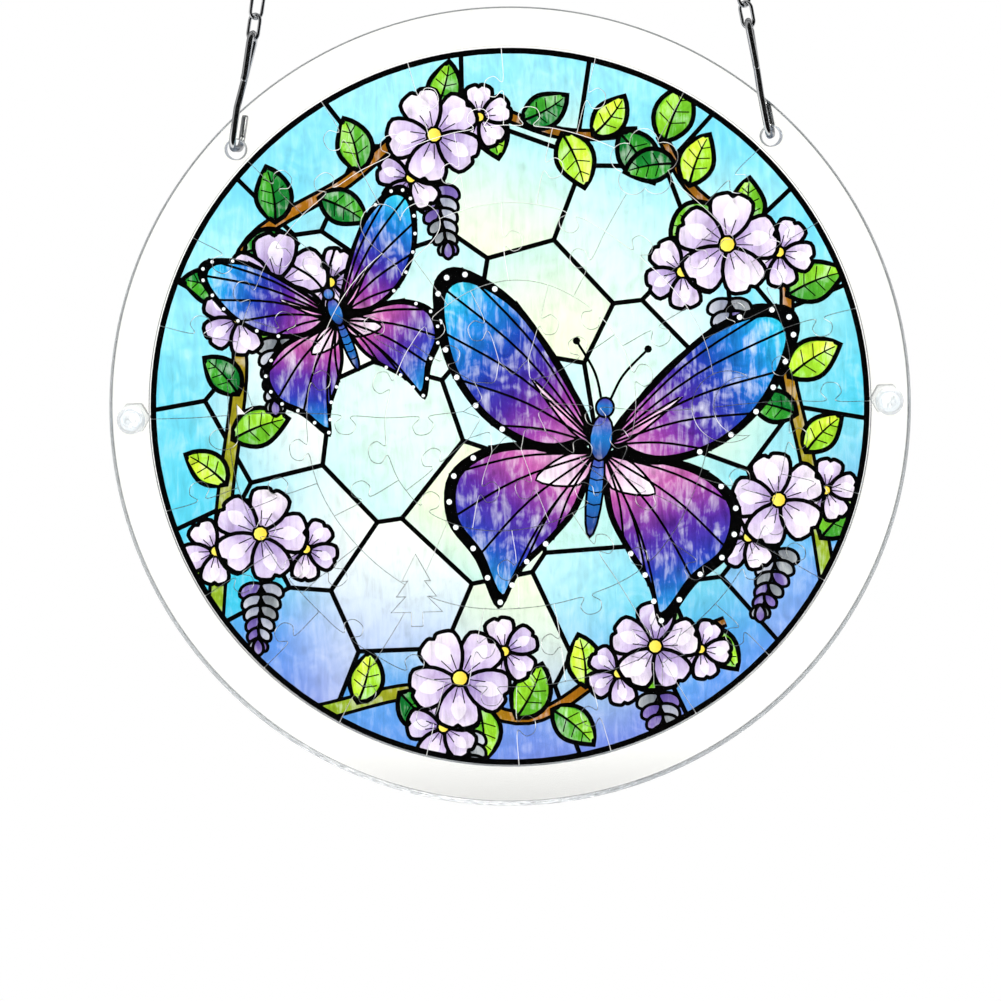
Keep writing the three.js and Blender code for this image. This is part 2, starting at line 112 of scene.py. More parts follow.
def smooth(points: Sequence[complex], steps: int, closed: bool = False) -> Outline:
    """Draws a Catmull-Rom curve through points.

    Args:
        points: the points that it passes.
        steps: how many lengths it has from one point to the next.
        closed: whether it runs back from the last point to the first.

    Returns:
        The curve's points. A closed one doesn't repeat its first.
    """
    p = np.asarray(points, complex)
    around = [p[-1:], p, p[:2]] if closed else [[2 * p[0] - p[1]], p, [2 * p[-1] - p[-2]]]
    p_all = np.concatenate(around)
    t = np.arange(steps) / steps
    stretches = [
        0.5 * (2 * b + (c - a) * t + (2 * a - 5 * b + 4 * c - d) * t**2 + (3 * b - a - 3 * c + d) * t**3)
        for a, b, c, d in zip(p_all, p_all[1:], p_all[2:], p_all[3:])
    ]
    curve = np.concatenate(stretches)
    return curve if closed else np.append(curve, p[-1])


def grow(outline: Outline, distance: float) -> Outline:
    """Moves a counter-clockwise outline outwards, or inwards where the distance is negative.

    Args:
        outline: the outline.
        distance: how far it moves.

    Returns:
        The moved outline.
    """
    before = outline - np.roll(outline, 1)
    after = np.roll(outline, -1) - outline
    before, after = before / abs(before), after / abs(after)
    turn = 1 + (before * after.conj()).real
    return outline - 1j * distance * (before + after) / np.maximum(turn, 0.4)


def ribbon(path: Outline, width: float | np.ndarray) -> Outline:
    """Gives the outline of a stroke along an open path, of one width or of a width at each point.

    Args:
        path: the stroke's middle line.
        width: its width.

    Returns:
        The outline, counter-clockwise.
    """
    tangent = np.gradient(path)
    half = 0.5j * tangent / abs(tangent) * width
    return np.concatenate([path - half, (path + half)[::-1]])


def inside(points: Outline, outline: Outline) -> np.ndarray:
    """Says which points lie inside an outline, by the even-odd rule.

    Args:
        points: the points.
        outline: the outline.

    Returns:
        Whether each point lies inside.
    """
    start, end = outline, np.roll(outline, -1)
    across, height = points.real[:, None], points.imag[:, None]
    passes = (start.imag > height) != (end.imag > height)
    rise = np.where(start.imag == end.imag, 1, end.imag - start.imag)
    crossing = start.real + (height - start.imag) * (end.real - start.real) / rise
    return ((across < crossing) & passes).sum(1) % 2 == 1


def deselect() -> None:
    """Leaves edit mode and deselects everything."""
    if bpy.context.mode != "OBJECT":
        bpy.ops.object.mode_set(mode="OBJECT")
    bpy.ops.object.select_all(action="DESELECT")


def pick(piece: Piece) -> None:
    """Makes a piece the only selected and the active object.

    Args:
        piece: the piece.
    """
    deselect()
    piece.select_set(True)
    bpy.context.view_layer.objects.active = piece


def apply_modifier(piece: Piece, kind: str, **settings: object) -> None:
    """Adds a modifier with its settings to a piece and applies it.

    Args:
        piece: the piece.
        kind: the modifier's type.
        settings: its properties.
    """
    pick(piece)
    modifier = piece.modifiers.new(kind.title(), kind)
    for name, value in settings.items():
        setattr(modifier, name, value)
    bpy.ops.object.modifier_apply(modifier=modifier.name)


def new_piece(name: str, points: Iterable[Sequence[float]], faces: Sequence[Sequence[int]] = (),
              edges: Sequence[Sequence[int]] = ()) -> Piece:
    """Makes an object of a mesh.

    Args:
        name: the piece's name.
        points: its points in millimetres, with heights from the middle of the disc.
        faces: its faces, as numbers of points.
        edges: its edges, where it has no faces yet.

    Returns:
        The new object, at the origin.
    """
    mesh = bpy.data.meshes.new(name)
    place = Vector((0, 0, DISC_HEIGHT))
    mesh.from_pydata([(Vector(point) + place) * MM for point in points], edges, faces)
    piece = bpy.data.objects.new(name, mesh)
    bpy.context.scene.collection.objects.link(piece)
    return piece


def dress(piece: Piece, *materials: Material) -> Piece:
    """Gives a piece its materials, in the order of its faces' slots.

    Args:
        piece: the piece.
        materials: its materials.

    Returns:
        The piece.
    """
    for material in materials:
        piece.data.materials.append(material)
    return piece


def finish_piece(piece: Piece, slot: str, *nodes: str, angle: float = 35) -> None:
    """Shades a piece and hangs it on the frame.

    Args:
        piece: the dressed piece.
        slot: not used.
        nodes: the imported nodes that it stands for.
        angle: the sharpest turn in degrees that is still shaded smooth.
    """
    pick(piece)
    bpy.ops.object.shade_smooth_by_angle(angle=math.radians(angle))
    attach(piece, BODY)
    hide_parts(*nodes)
    log.info("%s: %d faces", piece.name, len(piece.data.polygons))


def copy_of(master: Piece, name: str, matrix: Matrix) -> Piece:
    """Copies a piece with its mesh and moves the copy's mesh by a matrix in metres.

    Args:
        master: the piece that is copied.
        name: the copy's name.
        matrix: the move.

    Returns:
        The copy.
    """
    mesh = master.data.copy()
    mesh.name = name
    mesh.transform(matrix)
    piece = bpy.data.objects.new(name, mesh)
    bpy.context.scene.collection.objects.link(piece)
    return piece


def lathe(name: str, profile: Sequence[tuple[float, float]], centre: complex, steps: int) -> Piece:
    """Spins a profile about an axis that runs from front to back.

    Args:
        name: the piece's name.
        profile: radius and depth of each point, from axis to axis.
        centre: where the axis is.
        steps: how many steps the turn has.

    Returns:
        The closed piece, its seam and poles merged and its faces turned outwards.
    """
    points = [(centre.real + radius, depth, centre.imag) for radius, depth in profile]
    piece = new_piece(name, points, edges=[(i, i + 1) for i in range(len(points) - 1)])
    pick(piece)
    bpy.ops.object.mode_set(mode="EDIT")
    bpy.ops.mesh.select_all(action="SELECT")
    axis_point = Vector((centre.real, 0, centre.imag + DISC_HEIGHT)) * MM
    bpy.ops.mesh.spin(steps=steps, angle=2 * math.pi, center=axis_point, axis=(0, 1, 0))
    bpy.ops.mesh.select_all(action="SELECT")
    bpy.ops.mesh.remove_doubles(threshold=0.002 * MM)
    bpy.ops.mesh.normals_make_consistent(inside=False)
    bpy.ops.object.mode_set(mode="OBJECT")
    return piece


def cylinder(name: str, radius: float, near: float, far: float, sides: int,
             centre: complex = 0, turn: float = 0) -> Piece:
    """Adds a round or many-sided bar that runs from front to back.

    Args:
        name: the piece's name.
        radius: from its axis to its corners.
        near: depth of its front end.
        far: depth of its back end.
        sides: how many sides it has.
        centre: where its axis is.
        turn: degrees that it is turned about its axis.

    Returns:
        The bar, with its place in its mesh.
    """
    deselect()
    place = Vector((centre.real, (near + far) / 2, centre.imag + DISC_HEIGHT)) * MM
    bpy.ops.mesh.primitive_cylinder_add(
        vertices=sides, radius=radius * MM, depth=(far - near) * MM, location=place,
        rotation=(math.pi / 2, math.radians(turn), 0),
    )
    piece = bpy.context.object
    piece.name = piece.data.name = name
    bpy.ops.object.transform_apply(location=True, rotation=True, scale=True)
    return piece


def cut_away(piece: Piece, cutters: Sequence[Piece]) -> None:
    """Cuts each cutter out of a piece and deletes it.

    Args:
        piece: the piece.
        cutters: closed meshes in the shape of what is cut out.
    """
    for cutter in cutters:
        apply_modifier(piece, "BOOLEAN", operation="DIFFERENCE", solver="EXACT", object=cutter)
        bpy.data.objects.remove(cutter)


def add_node(tree: Tree, kind: str, inputs: dict | None = None, output: int | str = 0,
             **settings: object) -> Socket:
    """Adds a shader node with its settings and links.

    Args:
        tree: the node tree.
        kind: the node's type, without ShaderNode before it.
        inputs: a value or a linked output for each named or numbered socket.
        output: which of its outputs is wanted.
        settings: the node's own properties.

    Returns:
        That output.
    """
    node = tree.nodes.new("ShaderNode" + kind)
    for name, value in settings.items():
        setattr(node, name, value)
    for socket, value in (inputs or {}).items():
        if isinstance(value, Socket):
            tree.links.new(value, node.inputs[socket])
        else:
            node.inputs[socket].default_value = value
    return node.outputs[output]


def empty_tree(owner: Material | bpy.types.World) -> Tree:
    """Switches the nodes of a material or a world on and clears them.

    Args:
        owner: the material or the world.

    Returns:
        Its node tree.
    """
    owner.use_nodes = True
    owner.node_tree.nodes.clear()
    return owner.node_tree


def end_tree(tree: Tree, kind: str, shader: Socket) -> None:
    """Links a shader to the output of a material or a world."""
    end = tree.nodes.new(kind)
    tree.links.new(shader, end.inputs["Surface"])


def socket_colour(code: str) -> tuple[float, float, float, float]:
    """Gives a hex colour as a shader socket takes it."""
    return (*map(float, linear(code)), 1.0)


def uneven(tree: Tree, size: float, detail: float, limits: tuple[float, float]) -> Socket:
    """Makes a value that varies from place to place on a piece.

    Args:
        tree: the node tree.
        size: how far apart high and low places are, in millimetres.
        detail: how many finer layers it has.
        limits: the least and the most of it.

    Returns:
        The value.
    """
    place = add_node(tree, "TexCoord", output="Object")
    noise = add_node(tree, "TexNoise", {"Vector": place, "Scale": 1 / (size * MM), "Detail": detail})
    return add_node(tree, "MapRange", {"Value": noise, "From Min": 0.3, "From Max": 0.7,
                                       "To Min": limits[0], "To Max": limits[1]})


class Finish:
    """A material, of which each kind makes its own shader."""

    name: str

    def shader(self, tree: Tree) -> Socket:
        """Makes the shader's nodes in a tree."""
        raise NotImplementedError

    def build(self) -> Material:
        """Makes the material.

        Returns:
            The material.
        """
        material = bpy.data.materials.new(self.name)
        tree = empty_tree(material)
        end_tree(tree, "ShaderNodeOutputMaterial", self.shader(tree))
        return material


@dataclass(frozen=True)
class ClearPlastic(Finish):
    """See-through plastic. Lamps shine through it, and its faint haze varies over its surface.

    Attributes:
        name: what it is.
        tint: the colour of light that has passed through it.
        roughness: least and most roughness over its surface.
        ior: index of refraction.
        specular: how strongly its faces mirror, 0.5 being the full strength for its index.
        haze_size: how far apart clearer and hazier places are.
        clearness: share of the light that passes it rather than being scattered back.
    """

    name: str
    tint: str
    roughness: tuple[float, float]
    ior: float
    specular: float
    haze_size: float
    clearness: float = 1.0

    def shader(self, tree: Tree) -> Socket:
        """Makes a glass that is open to the rays that look for a lamp.

        Args:
            tree: the material's node tree.

        Returns:
            The shader.
        """
        tint = socket_colour(self.tint)
        glass = add_node(tree, "BsdfPrincipled", {
            "Base Color": tint, "Roughness": uneven(tree, self.haze_size, 2, self.roughness),
            "IOR": self.ior, "Transmission Weight": self.clearness, "Specular IOR Level": self.specular,
        })
        open_way = add_node(tree, "BsdfTransparent", {"Color": tint})
        lamp_ray = add_node(tree, "LightPath", output="Is Shadow Ray")
        return add_node(tree, "MixShader", {0: lamp_ray, 1: glass, 2: open_way})


@dataclass(frozen=True)
class PrintedSheet(Finish):
    """Acrylic sheet with an ink print, whose colours each corner of a face carries.

    Attributes:
        name: what it is.
        roughness: of the ink under its clear coat.
        specular: how strongly that coat mirrors.
        highlight: the colour that the streaks lighten towards.
        streak_length: length of a brushed streak.
        streak_width: its width.
        streak_lean: degrees that the streaks lean.
        streak_strength: how much a streak lightens or darkens a colour.
        mottle_size: size of the cloudy patches.
    """

    name: str = "acrylic_printed_in_ink"
    roughness: float = 0.24
    specular: float = 0.15
    highlight: str = "#F9FBFB"
    streak_length: float = 9
    streak_width: float = 1.5
    streak_lean: float = 28
    streak_strength: float = 1.5
    mottle_size: float = 7

    def shader(self, tree: Tree) -> Socket:
        """Makes the ink, lightened and darkened by streaks as strongly as the print's alpha says.

        Args:
            tree: the material's node tree.

        Returns:
            The shader.
        """
        def math_node(operation: str, first: object, second: object) -> Socket:
            """Works out one step of the sum."""
            return add_node(tree, "Math", {0: first, 1: second}, operation=operation)

        ink = add_node(tree, "Attribute", output="Color", attribute_name=PRINT)
        place = add_node(tree, "TexCoord", output="Object")
        leaning = add_node(tree, "Mapping", {
            "Vector": place, "Rotation": (0, math.radians(self.streak_lean), 0),
            "Scale": (1 / (self.streak_width * MM), 1, 1 / (self.streak_length * MM)),
        })
        streaks = add_node(tree, "TexNoise", {"Vector": leaning, "Scale": 1.0, "Detail": 3.0,
                                              "Roughness": 0.6, "Distortion": 0.8})
        mottle = add_node(tree, "TexNoise", {"Vector": place, "Scale": 1 / (self.mottle_size * MM),
                                             "Detail": 4.0, "Distortion": 1.5})
        signed = math_node("SUBTRACT", math_node("ADD", streaks, mottle), 1.0)
        strength = math_node("MULTIPLY", ink.node.outputs["Alpha"], self.streak_strength)
        change = math_node("MULTIPLY", signed, strength)
        darker = math_node("ADD", math_node("MINIMUM", change, 0.0), 1.0)
        deep = add_node(tree, "VectorMath", {0: ink, 3: darker}, operation="SCALE")
        colour = add_node(tree, "Mix", {0: math_node("MAXIMUM", change, 0.0), 6: deep,
                                        7: socket_colour(self.highlight)}, output=2, data_type="RGBA")
        return add_node(tree, "BsdfPrincipled", {"Base Color": colour, "Roughness": self.roughness,
                                                 "IOR": 1.49, "Specular IOR Level": self.specular})


@dataclass(frozen=True)
class CutEdge(Finish):
    """Laser-cut edge of a printed sheet, with fine beam lines across its thickness.

    Attributes:
        name: what it is.
        colour: of the edge, a grey that is painted shade inside the narrow cuts.
        roughness: least and most roughness over the beam lines.
        line_spacing: between two beam lines.
        line_length: length of a beam line.
    """

    name: str = "acrylic_laser_cut_edge"
    # grey of the cut walls: painted shade inside the narrow cuts
    colour: str = "#A9B1B4"
    roughness: tuple[float, float] = (0.15, 0.4)
    line_spacing: float = 0.4
    line_length: float = 50 / 3

    def shader(self, tree: Tree) -> Socket:
        """Makes a pale gloss whose roughness changes from line to line.

        Args:
            tree: the material's node tree.

        Returns:
            The shader.
        """
        across, along_line = 1 / (self.line_spacing * MM), 1 / (self.line_length * MM)
        squeezed = add_node(tree, "Mapping", {"Vector": add_node(tree, "TexCoord", output="Object"),
                                              "Scale": (across, along_line, across)})
        lines = add_node(tree, "TexNoise", {"Vector": squeezed, "Scale": 1.0})
        rough = add_node(tree, "MapRange", {"Value": lines, "To Min": self.roughness[0],
                                            "To Max": self.roughness[1]})
        return add_node(tree, "BsdfPrincipled", {"Base Color": socket_colour(self.colour),
                                                 "Roughness": rough, "IOR": 1.49})


@dataclass(frozen=True)
class BrightWire(Finish):
    """Plated steel wire with faint marks from drawing.

    Attributes:
        name: what it is.
        colour: of the plating.
        roughness: least and most roughness over its surface.
        mark_size: how far apart the marks are.
    """

    name: str = "nickel_plated_wire"
    colour: str = "#D5D6D8"
    roughness: tuple[float, float] = (0.07, 0.2)
    mark_size: float = 0.5

    def shader(self, tree: Tree) -> Socket:
        """Makes an uneven mirror shine.

        Args:
            tree: the material's node tree.

        Returns:
            The shader.
        """
        return add_node(tree, "BsdfPrincipled", {
            "Base Color": socket_colour(self.colour), "Metallic": 1.0,
            "Roughness": uneven(tree, self.mark_size, 3, self.roughness),
        })


@dataclass(frozen=True)
class PaintedBoard(Finish):
    """Matt white paint.

    Attributes:
        name: what it is.
        colour: of the paint.
        roughness: of its surface.
    """

    name: str = "white_painted_board"
    colour: str = "#F7F7F5"
    roughness: float = 0.8

    def shader(self, tree: Tree) -> Socket:
        """Makes a plain matt surface."""
        return add_node(tree, "BsdfPrincipled", {"Base Color": socket_colour(self.colour),
                                                 "Roughness": self.roughness})


# Cast acrylic bends what is behind it and mirrors a little, with nearly no colour of its own.
CLEAR_SHEET = ClearPlastic("cast_acrylic_sheet", "#FFFFFE", (0.0, 0.02), 1.49, 0.25, 12)
# The laser leaves the corners of the cut slightly dull; their grey tint is painted shade, a fine dark line
# round each sheet.
CUT_CORNER = ClearPlastic("acrylic_dulled_corner_painted_shade", "#7E8285", (0.25, 0.45), 1.49, 0.5, 4)
# Its cut walls are frosted, and their faint blue tint is a painted glint. They scatter light, so that the
# edge looks pale from the side.
FROSTED_CUT = ClearPlastic("acrylic_frosted_cut_painted_glint", "#D9E2EE", (0.12, 0.3), 1.49, 0.3, 2, 0.65)
# Moulded clear plastic is a little cloudy, so that a screw looks milky beside the sheet round it.
CLEAR_SCREW = ClearPlastic("clear_moulded_plastic", "#FBFCFC", (0.05, 0.18), 1.38, 0.25, 1.5, 0.83)
# Ink under a clear coat keeps its full colour, with the soft streaks and clouds of rolled stained glass.
PRINTED_SHEET = PrintedSheet()
# The puzzle's cuts show as fine silvery lines, because the laser polishes the walls of each cut; the walls'
# grey colour is painted shade inside the narrow cuts.
PUZZLE_CUT = CutEdge()
# Nickel mirrors the room, so the wire looks black where it faces the dark side and white beside that.
BRIGHT_WIRE = BrightWire()
# Matt paint throws an even light up from below and shows no reflection of its own.
WHITE_BOARD = PaintedBoard()


@dataclass
class Region:
    """One flat area of the picture.

    Attributes:
        outline: its edge.
        shade: gives its linear colour at each of several points.
        streak: how strongly the brushed streaks show in it, from 0 to 1.
    """

    outline: Outline
    shade: Shade
    streak: float = 0.0
    low: complex = field(init=False)
    high: complex = field(init=False)

    def __post_init__(self) -> None:
        """Measures its box."""
        self.low = self.outline.real.min() + 1j * self.outline.imag.min()
        self.high = self.outline.real.max() + 1j * self.outline.imag.max()

    def touches(self, low: complex, high: complex) -> bool:
        """Says whether its box meets another."""
        return bool(self.low.real < high.real and self.high.real > low.real
                    and self.low.imag < high.imag and self.high.imag > low.imag)


def flat(code: str) -> Shade:
    """Gives a shade that is one colour all over."""
    colour = linear(code)
    return lambda points: np.tile(colour, (len(points), 1))


def ramp(codes: Sequence[str], share: np.ndarray) -> np.ndarray:
    """Blends evenly spaced colours by a share from 0 to 1.

    Args:
        codes: the colours.
        share: how far along them each point is.

    Returns:
        A linear colour for each point.
    """
    colours = np.array([linear(code) for code in codes])
    stops = np.linspace(0, 1, len(codes))
    return np.stack([np.interp(share, stops, colours[:, i]) for i in range(3)], 1)


def along(start: complex, end: complex, codes: Sequence[str]) -> Shade:
    """Gives a shade that changes from one point to another."""
    way = end - start
    return lambda points: ramp(codes, ((points - start) * way.conjugate()).real / abs(way) ** 2)


@dataclass(frozen=True)
class Palette:
    """Colours of the picture."""

    lead: str = "#020202"
    heart_of_sky: tuple[str, ...] = ("#F3F7EE", "#D6F1E6", "#C2EAE0", "#E8F5D4", "#C6ECF0")
    rim_of_sky: tuple[str, ...] = ("#6F86D6", "#5C93DE", "#3DBFDD", "#5CCBE4", "#8FDDF0", "#6FCFEA",
                                   "#9ADFEF")
    leaves: tuple[tuple[str, str, str], ...] = (
        ("#0B6A2C", "#1C8A30", "#4CAE22"),
        ("#4CA21F", "#7CC62B", "#A6E02A"),
        ("#86CC2A", "#B4E432", "#DDF23E"),
        ("#2C8F2C", "#64B92A", "#9AD832"),
    )
    stem: tuple[str, ...] = ("#8DB32A", "#A6690F", "#8A5A14")
    petals: tuple[tuple[str, str, str], ...] = (
        ("#8E76B4", "#C4B0DA", "#E6DBEE"),
        ("#A58CC2", "#D6C6E4", "#F1E9F2"),
        ("#7D68A8", "#B39FD0", "#D9CBE6"),
    )
    stamens: tuple[str, ...] = ("#F6EC6A", "#EFC93A")
    buds: tuple[tuple[str, str], ...] = (("#5F6570", "#9AA0A4"), ("#8087A0", "#B9BCC8"),
                                         ("#4B3A86", "#8470B8"))
    wing: tuple[str, ...] = ("#E7A3D4", "#A446A8", "#4A259C", "#1C3FB0", "#1E8ADB", "#35CBE4")
    lower_wing: tuple[str, ...] = ("#F3D7EE", "#C05AA9", "#5A2A9E", "#243FB4", "#2A9FE0")
    body: tuple[str, ...] = ("#2A2470", "#1E78C8", "#4A1E93")
    spots: str = "#F4FBFF"


class Side(Enum):
    """Which side of a middle line a thing is on."""

    LEFT = 1
    RIGHT = -1


@dataclass
class Picture:
    """The printed design in the manner of stained glass: two butterflies in a wreath of vines and flowers.

    Attributes:
        radius: of the whole print.
        rim: width of the dark band round it.
        lead: width of the main dark lines.
        vein: width of the fine dark lines.
        seed: start of the random numbers.
        palette: its colours.
        regions: its areas, the later ones over the earlier ones.
    """

    radius: float
    rim: float = 1.5
    lead: float = 1.2
    vein: float = 0.6
    seed: int = 11
    palette: Palette = Palette()
    regions: list[Region] = field(default_factory=list)

    def __post_init__(self) -> None:
        """Draws all of it."""
        self.random = np.random.default_rng(self.seed)
        self.sky()
        self.vines()
        self.butterfly(22 - 12j, 45, -8)
        self.butterfly(-42 + 23j, 28, 20)
        outer, inner = circle(self.radius + 1, 96), circle(self.radius - self.rim, 96)[::-1]
        self.fill(np.concatenate([outer, outer[:1], inner[-1:], inner]), flat(self.palette.lead))

    def fill(self, outline: Outline, shade: Shade, streak: float = 0.0) -> None:
        """Paints an area."""
        self.regions.append(Region(outline, shade, streak))

    def line(self, path: Outline, width: float | np.ndarray) -> None:
        """Draws a dark line along an open path."""
        self.fill(ribbon(path, width), flat(self.palette.lead))

    def pane(self, outline: Outline, shade: Shade, streak: float = 0.7, width: float | None = None) -> None:
        """Paints an area with a dark line round it.

        Args:
            outline: the middle of the dark line.
            shade: the area's colours.
            streak: how strongly the streaks show in it.
            width: of the dark line, if it isn't the lead's.
        """
        half = (width or self.lead) / 2
        self.fill(grow(outline, half), flat(self.palette.lead))
        self.fill(grow(outline, -half), shade, streak)

    def sky(self) -> None:
        """Draws the pale panes behind everything, split like cracked ice."""
        rings = ((1, 4, 0), (6, 31, 12), (12, 57, 0), (18, 81, 7))
        seeds = np.concatenate([
            polar(radius, np.arange(count) * 360 / count + turn)
            + self.random.normal(0, 3.5, count)
            + 1j * self.random.normal(0, 3.5, count)
            for count, radius, turn in rings
        ])
        reach = self.radius
        corners = np.array([-1 - 1j, 1 - 1j, 1 + 1j, -1 + 1j]) * reach
        for seed in seeds:
            outline = corners
            for other in seeds:
                if other != seed:
                    outline = self.nearer(outline, seed, other)
            self.pane(outline, self.sky_shade(seed), 0.4)

    @staticmethod
    def nearer(outline: Outline, seed: complex, other: complex) -> Outline:
        """Keeps the part of an outline that is nearer to one point than to another.

        Args:
            outline: the outline.
            seed: the point that it keeps to.
            other: the point that it leaves.

        Returns:
            What is left of the outline.
        """
        middle, way = (seed + other) / 2, other - seed
        beyond = ((outline - middle) * way.conjugate()).real
        kept = []
        for start, end, a, b in zip(outline, np.roll(outline, -1), beyond, np.roll(beyond, -1)):
            if a <= 0:
                kept.append(start)
            if (a < 0 < b) or (b < 0 < a):
                kept.append(start + (end - start) * a / (a - b))
        return np.array(kept)

    def sky_shade(self, seed: complex) -> Shade:
        """Gives the shade of one pane: pale in the middle of the disc and blue towards its edge.

        Args:
            seed: the middle of the pane.

        Returns:
            The shade.
        """
        change = self.random.uniform(-1, 1)
        slope = polar(self.random.uniform(0.15, 0.4) / 30, self.random.uniform(0, 360))
        tone = linear(self.palette.heart_of_sky[self.random.integers(len(self.palette.heart_of_sky))])

        def shade(points: Outline) -> np.ndarray:
            """Blends the pale tone into the blue by the distance from the middle.

            Args:
                points: the points.

            Returns:
                Their linear colours.
            """
            tilt = ((points - seed) * slope.conjugate()).real
            spread = np.clip((abs(points) / self.radius - 0.3 + 0.12 * change) / 0.6 + tilt, 0, 1)
            height = 0.5 + points.imag / self.radius / 2 + 0.12 * change + 0.3 * tilt
            edge = ramp(self.palette.rim_of_sky, np.clip(height, 0, 1))
            mix = (spread**1.3)[:, None]
            return tone * (1 - mix) + edge * mix

        return shade

    def vines(self) -> None:
        """Draws the wreath: brown vines with leaves, flowers and strings of buds."""
        left = smooth([polar(91, 214), polar(75, 196), polar(68, 172), polar(77, 148), polar(70, 124),
                       polar(77, 100), polar(70, 78), polar(76, 64)], 8)
        right = smooth([polar(91, -30), polar(76, -12), polar(70, 8), polar(77, 28), polar(71, 48),
                        polar(78, 60)], 8)
        bottom = smooth([polar(91, 236), polar(74, 252), polar(78, 272), polar(70, 292), polar(76, 314)], 8)
        for path, first in ((left, Side.LEFT), (right, Side.RIGHT), (bottom, Side.LEFT)):
            width = np.linspace(3.6, 1.8, len(path))
            self.line(path, width + self.lead)
            self.fill(ribbon(path, width - self.lead / 2),
                      along(path[0], path[-1], self.palette.stem), 0.8)
            self.foliage(path, first)
        for radius, angle, size, turn in ((70, 205, 11.5, 0), (66, 150, 12.5, 20), (71, 104, 11.5, 40),
                                          (68, 36, 12.5, 10), (71, -20, 11.5, 30), (69, 258, 12.5, 50),
                                          (70, 300, 11, 15)):
            self.spray(polar(radius, angle), size, turn)

    def foliage(self, path: Outline, first: Side) -> None:
        """Sets leaves along a vine, to and fro.

        Args:
            path: the vine's middle line.
            first: the side of the first leaf.
        """
        side = first
        for index in range(3, len(path) - 1, 3):
            way = path[index + 1] - path[index - 1]
            heading = np.degrees(np.angle(way)) + side.value * self.random.uniform(38, 62)
            self.leaf(path[index], heading, self.random.uniform(13, 16.5), side)
            side = Side(-side.value)

    def leaf(self, foot: complex, heading: float, length: float, side: Side) -> None:
        """Draws a leaf in two tones, with its veins.

        Args:
            foot: where it grows from.
            heading: its direction in degrees.
            length: from foot to tip.
            side: the side that it curls to.
        """
        share = np.linspace(0, 1, 11)
        direction = polar(1, heading)
        bend = 0.5j * side.value * share**2 * 0.35
        rib = foot + direction * length * (share * (1 - 0.08 * share) + bend)
        half = 0.30 * length * np.sin(np.pi * share**0.85) ** 0.85
        tangent = np.gradient(rib)
        out = 1j * tangent / abs(tangent) * half
        tones = self.palette.leaves[self.random.integers(len(self.palette.leaves))]
        outline = np.concatenate([rib[:-1] - out[:-1], [rib[-1]], (rib + out)[1:-1][::-1]])
        self.pane(outline, along(rib[0], rib[-1], tones[:2]), 0.8)
        light = np.concatenate([rib[1:-1], (rib + 0.78 * out)[1:-1][::-1]])
        self.fill(light, along(rib[0], rib[-1], tones[1:]), 0.8)
        self.line(rib[:-1], np.linspace(self.vein * 1.3, self.vein * 0.5, 10))
        for i in (3, 5, 7):
            for turn in (-1, 1):
                tip = rib[i + 1] + 0.72 * turn * out[i + 1]
                self.line(np.linspace(rib[i], tip, 3), self.vein * 0.5)

    def spray(self, centre: complex, size: float, turn: float) -> None:
        """Draws a group of flowers with a string of buds that hangs from it.

        Args:
            centre: the middle of its largest flower.
            size: that flower's radius.
            turn: degrees that the flower is turned.
        """
        self.buds(centre - 0.4j * size, 1.9 * size)
        for shift, share in ((polar(1.05 * size, turn + 200), 0.72), (polar(1.05 * size, turn - 20), 0.68)):
            self.flower(centre + shift, share * size, turn + 50)
        self.flower(centre, size, turn)

    def buds(self, top: complex, length: float) -> None:
        """Draws a string of buds that hangs down from a point.

        Args:
            top: the point.
            length: of the string.
        """
        sway = self.random.uniform(-0.25, 0.25)
        share = np.linspace(0, 1, 9)
        string = top + length * (sway * share**2 - 1j * share)
        self.line(string, self.lead)
        for i, place in enumerate(string[3:]):
            spread = 62 - 6 * i
            for turn in (-spread, spread):
                tones = self.palette.buds[self.random.integers(len(self.palette.buds))]
                self.bud(place, -90 + turn, 5.6 - 0.42 * i, tones)
        self.bud(string[-1], -90, 4.0, self.palette.buds[2])

    def bud(self, foot: complex, heading: float, length: float, tones: tuple[str, str]) -> None:
        """Draws one drop-shaped bud.

        Args:
            foot: where it grows from.
            heading: its direction in degrees.
            length: from foot to tip.
            tones: its colours from foot to tip.
        """
        drop = np.array([0, 0.4 - 0.3j, 0.85 - 0.3j, 1.1, 0.85 + 0.3j, 0.4 + 0.3j]) * length
        shape = foot + polar(1, heading) * smooth(drop, 3, closed=True)
        self.pane(shape, along(foot, foot + polar(length, heading), tones), 0.6, self.vein * 1.4)

    def flower(self, centre: complex, radius: float, turn: float) -> None:
        """Draws an open flower of five petals round a yellow middle.

        Args:
            centre: its middle.
            radius: of the flower.
            turn: degrees that it is turned.
        """
        petal = np.array([0.1, 0.42 - 0.34j, 0.86 - 0.42j, 1.02 - 0.12j, 0.96, 1.02 + 0.12j,
                          0.86 + 0.42j, 0.42 + 0.34j]) * radius
        glow = np.array([0.34, 0.62 - 0.16j, 0.86, 0.62 + 0.16j]) * radius
        for i in range(5):
            angle = turn + i * 72
            place = centre + polar(1, angle) * smooth(petal, 3, closed=True)
            tones = self.palette.petals[(i + self.random.integers(2)) % len(self.palette.petals)]
            tip = centre + polar(radius, angle)
            self.pane(place, along(centre, tip, tones), 0.7, self.lead * 0.85)
            self.fill(centre + polar(1, angle) * smooth(glow, 3, closed=True),
                      along(centre, tip, (tones[1], "#FBF6FC")), 0.4)
            rays = (centre + polar(np.linspace(0.2, 0.52, 4) * radius, angle + bend) for bend in (-13, 13))
            for ray in rays:
                self.line(ray, self.vein * 0.45)
        self.pane(circle(0.17 * radius, 10, centre), along(centre - radius / 6, centre + radius / 6,
                                                           self.palette.stamens), 0.0, self.vein)

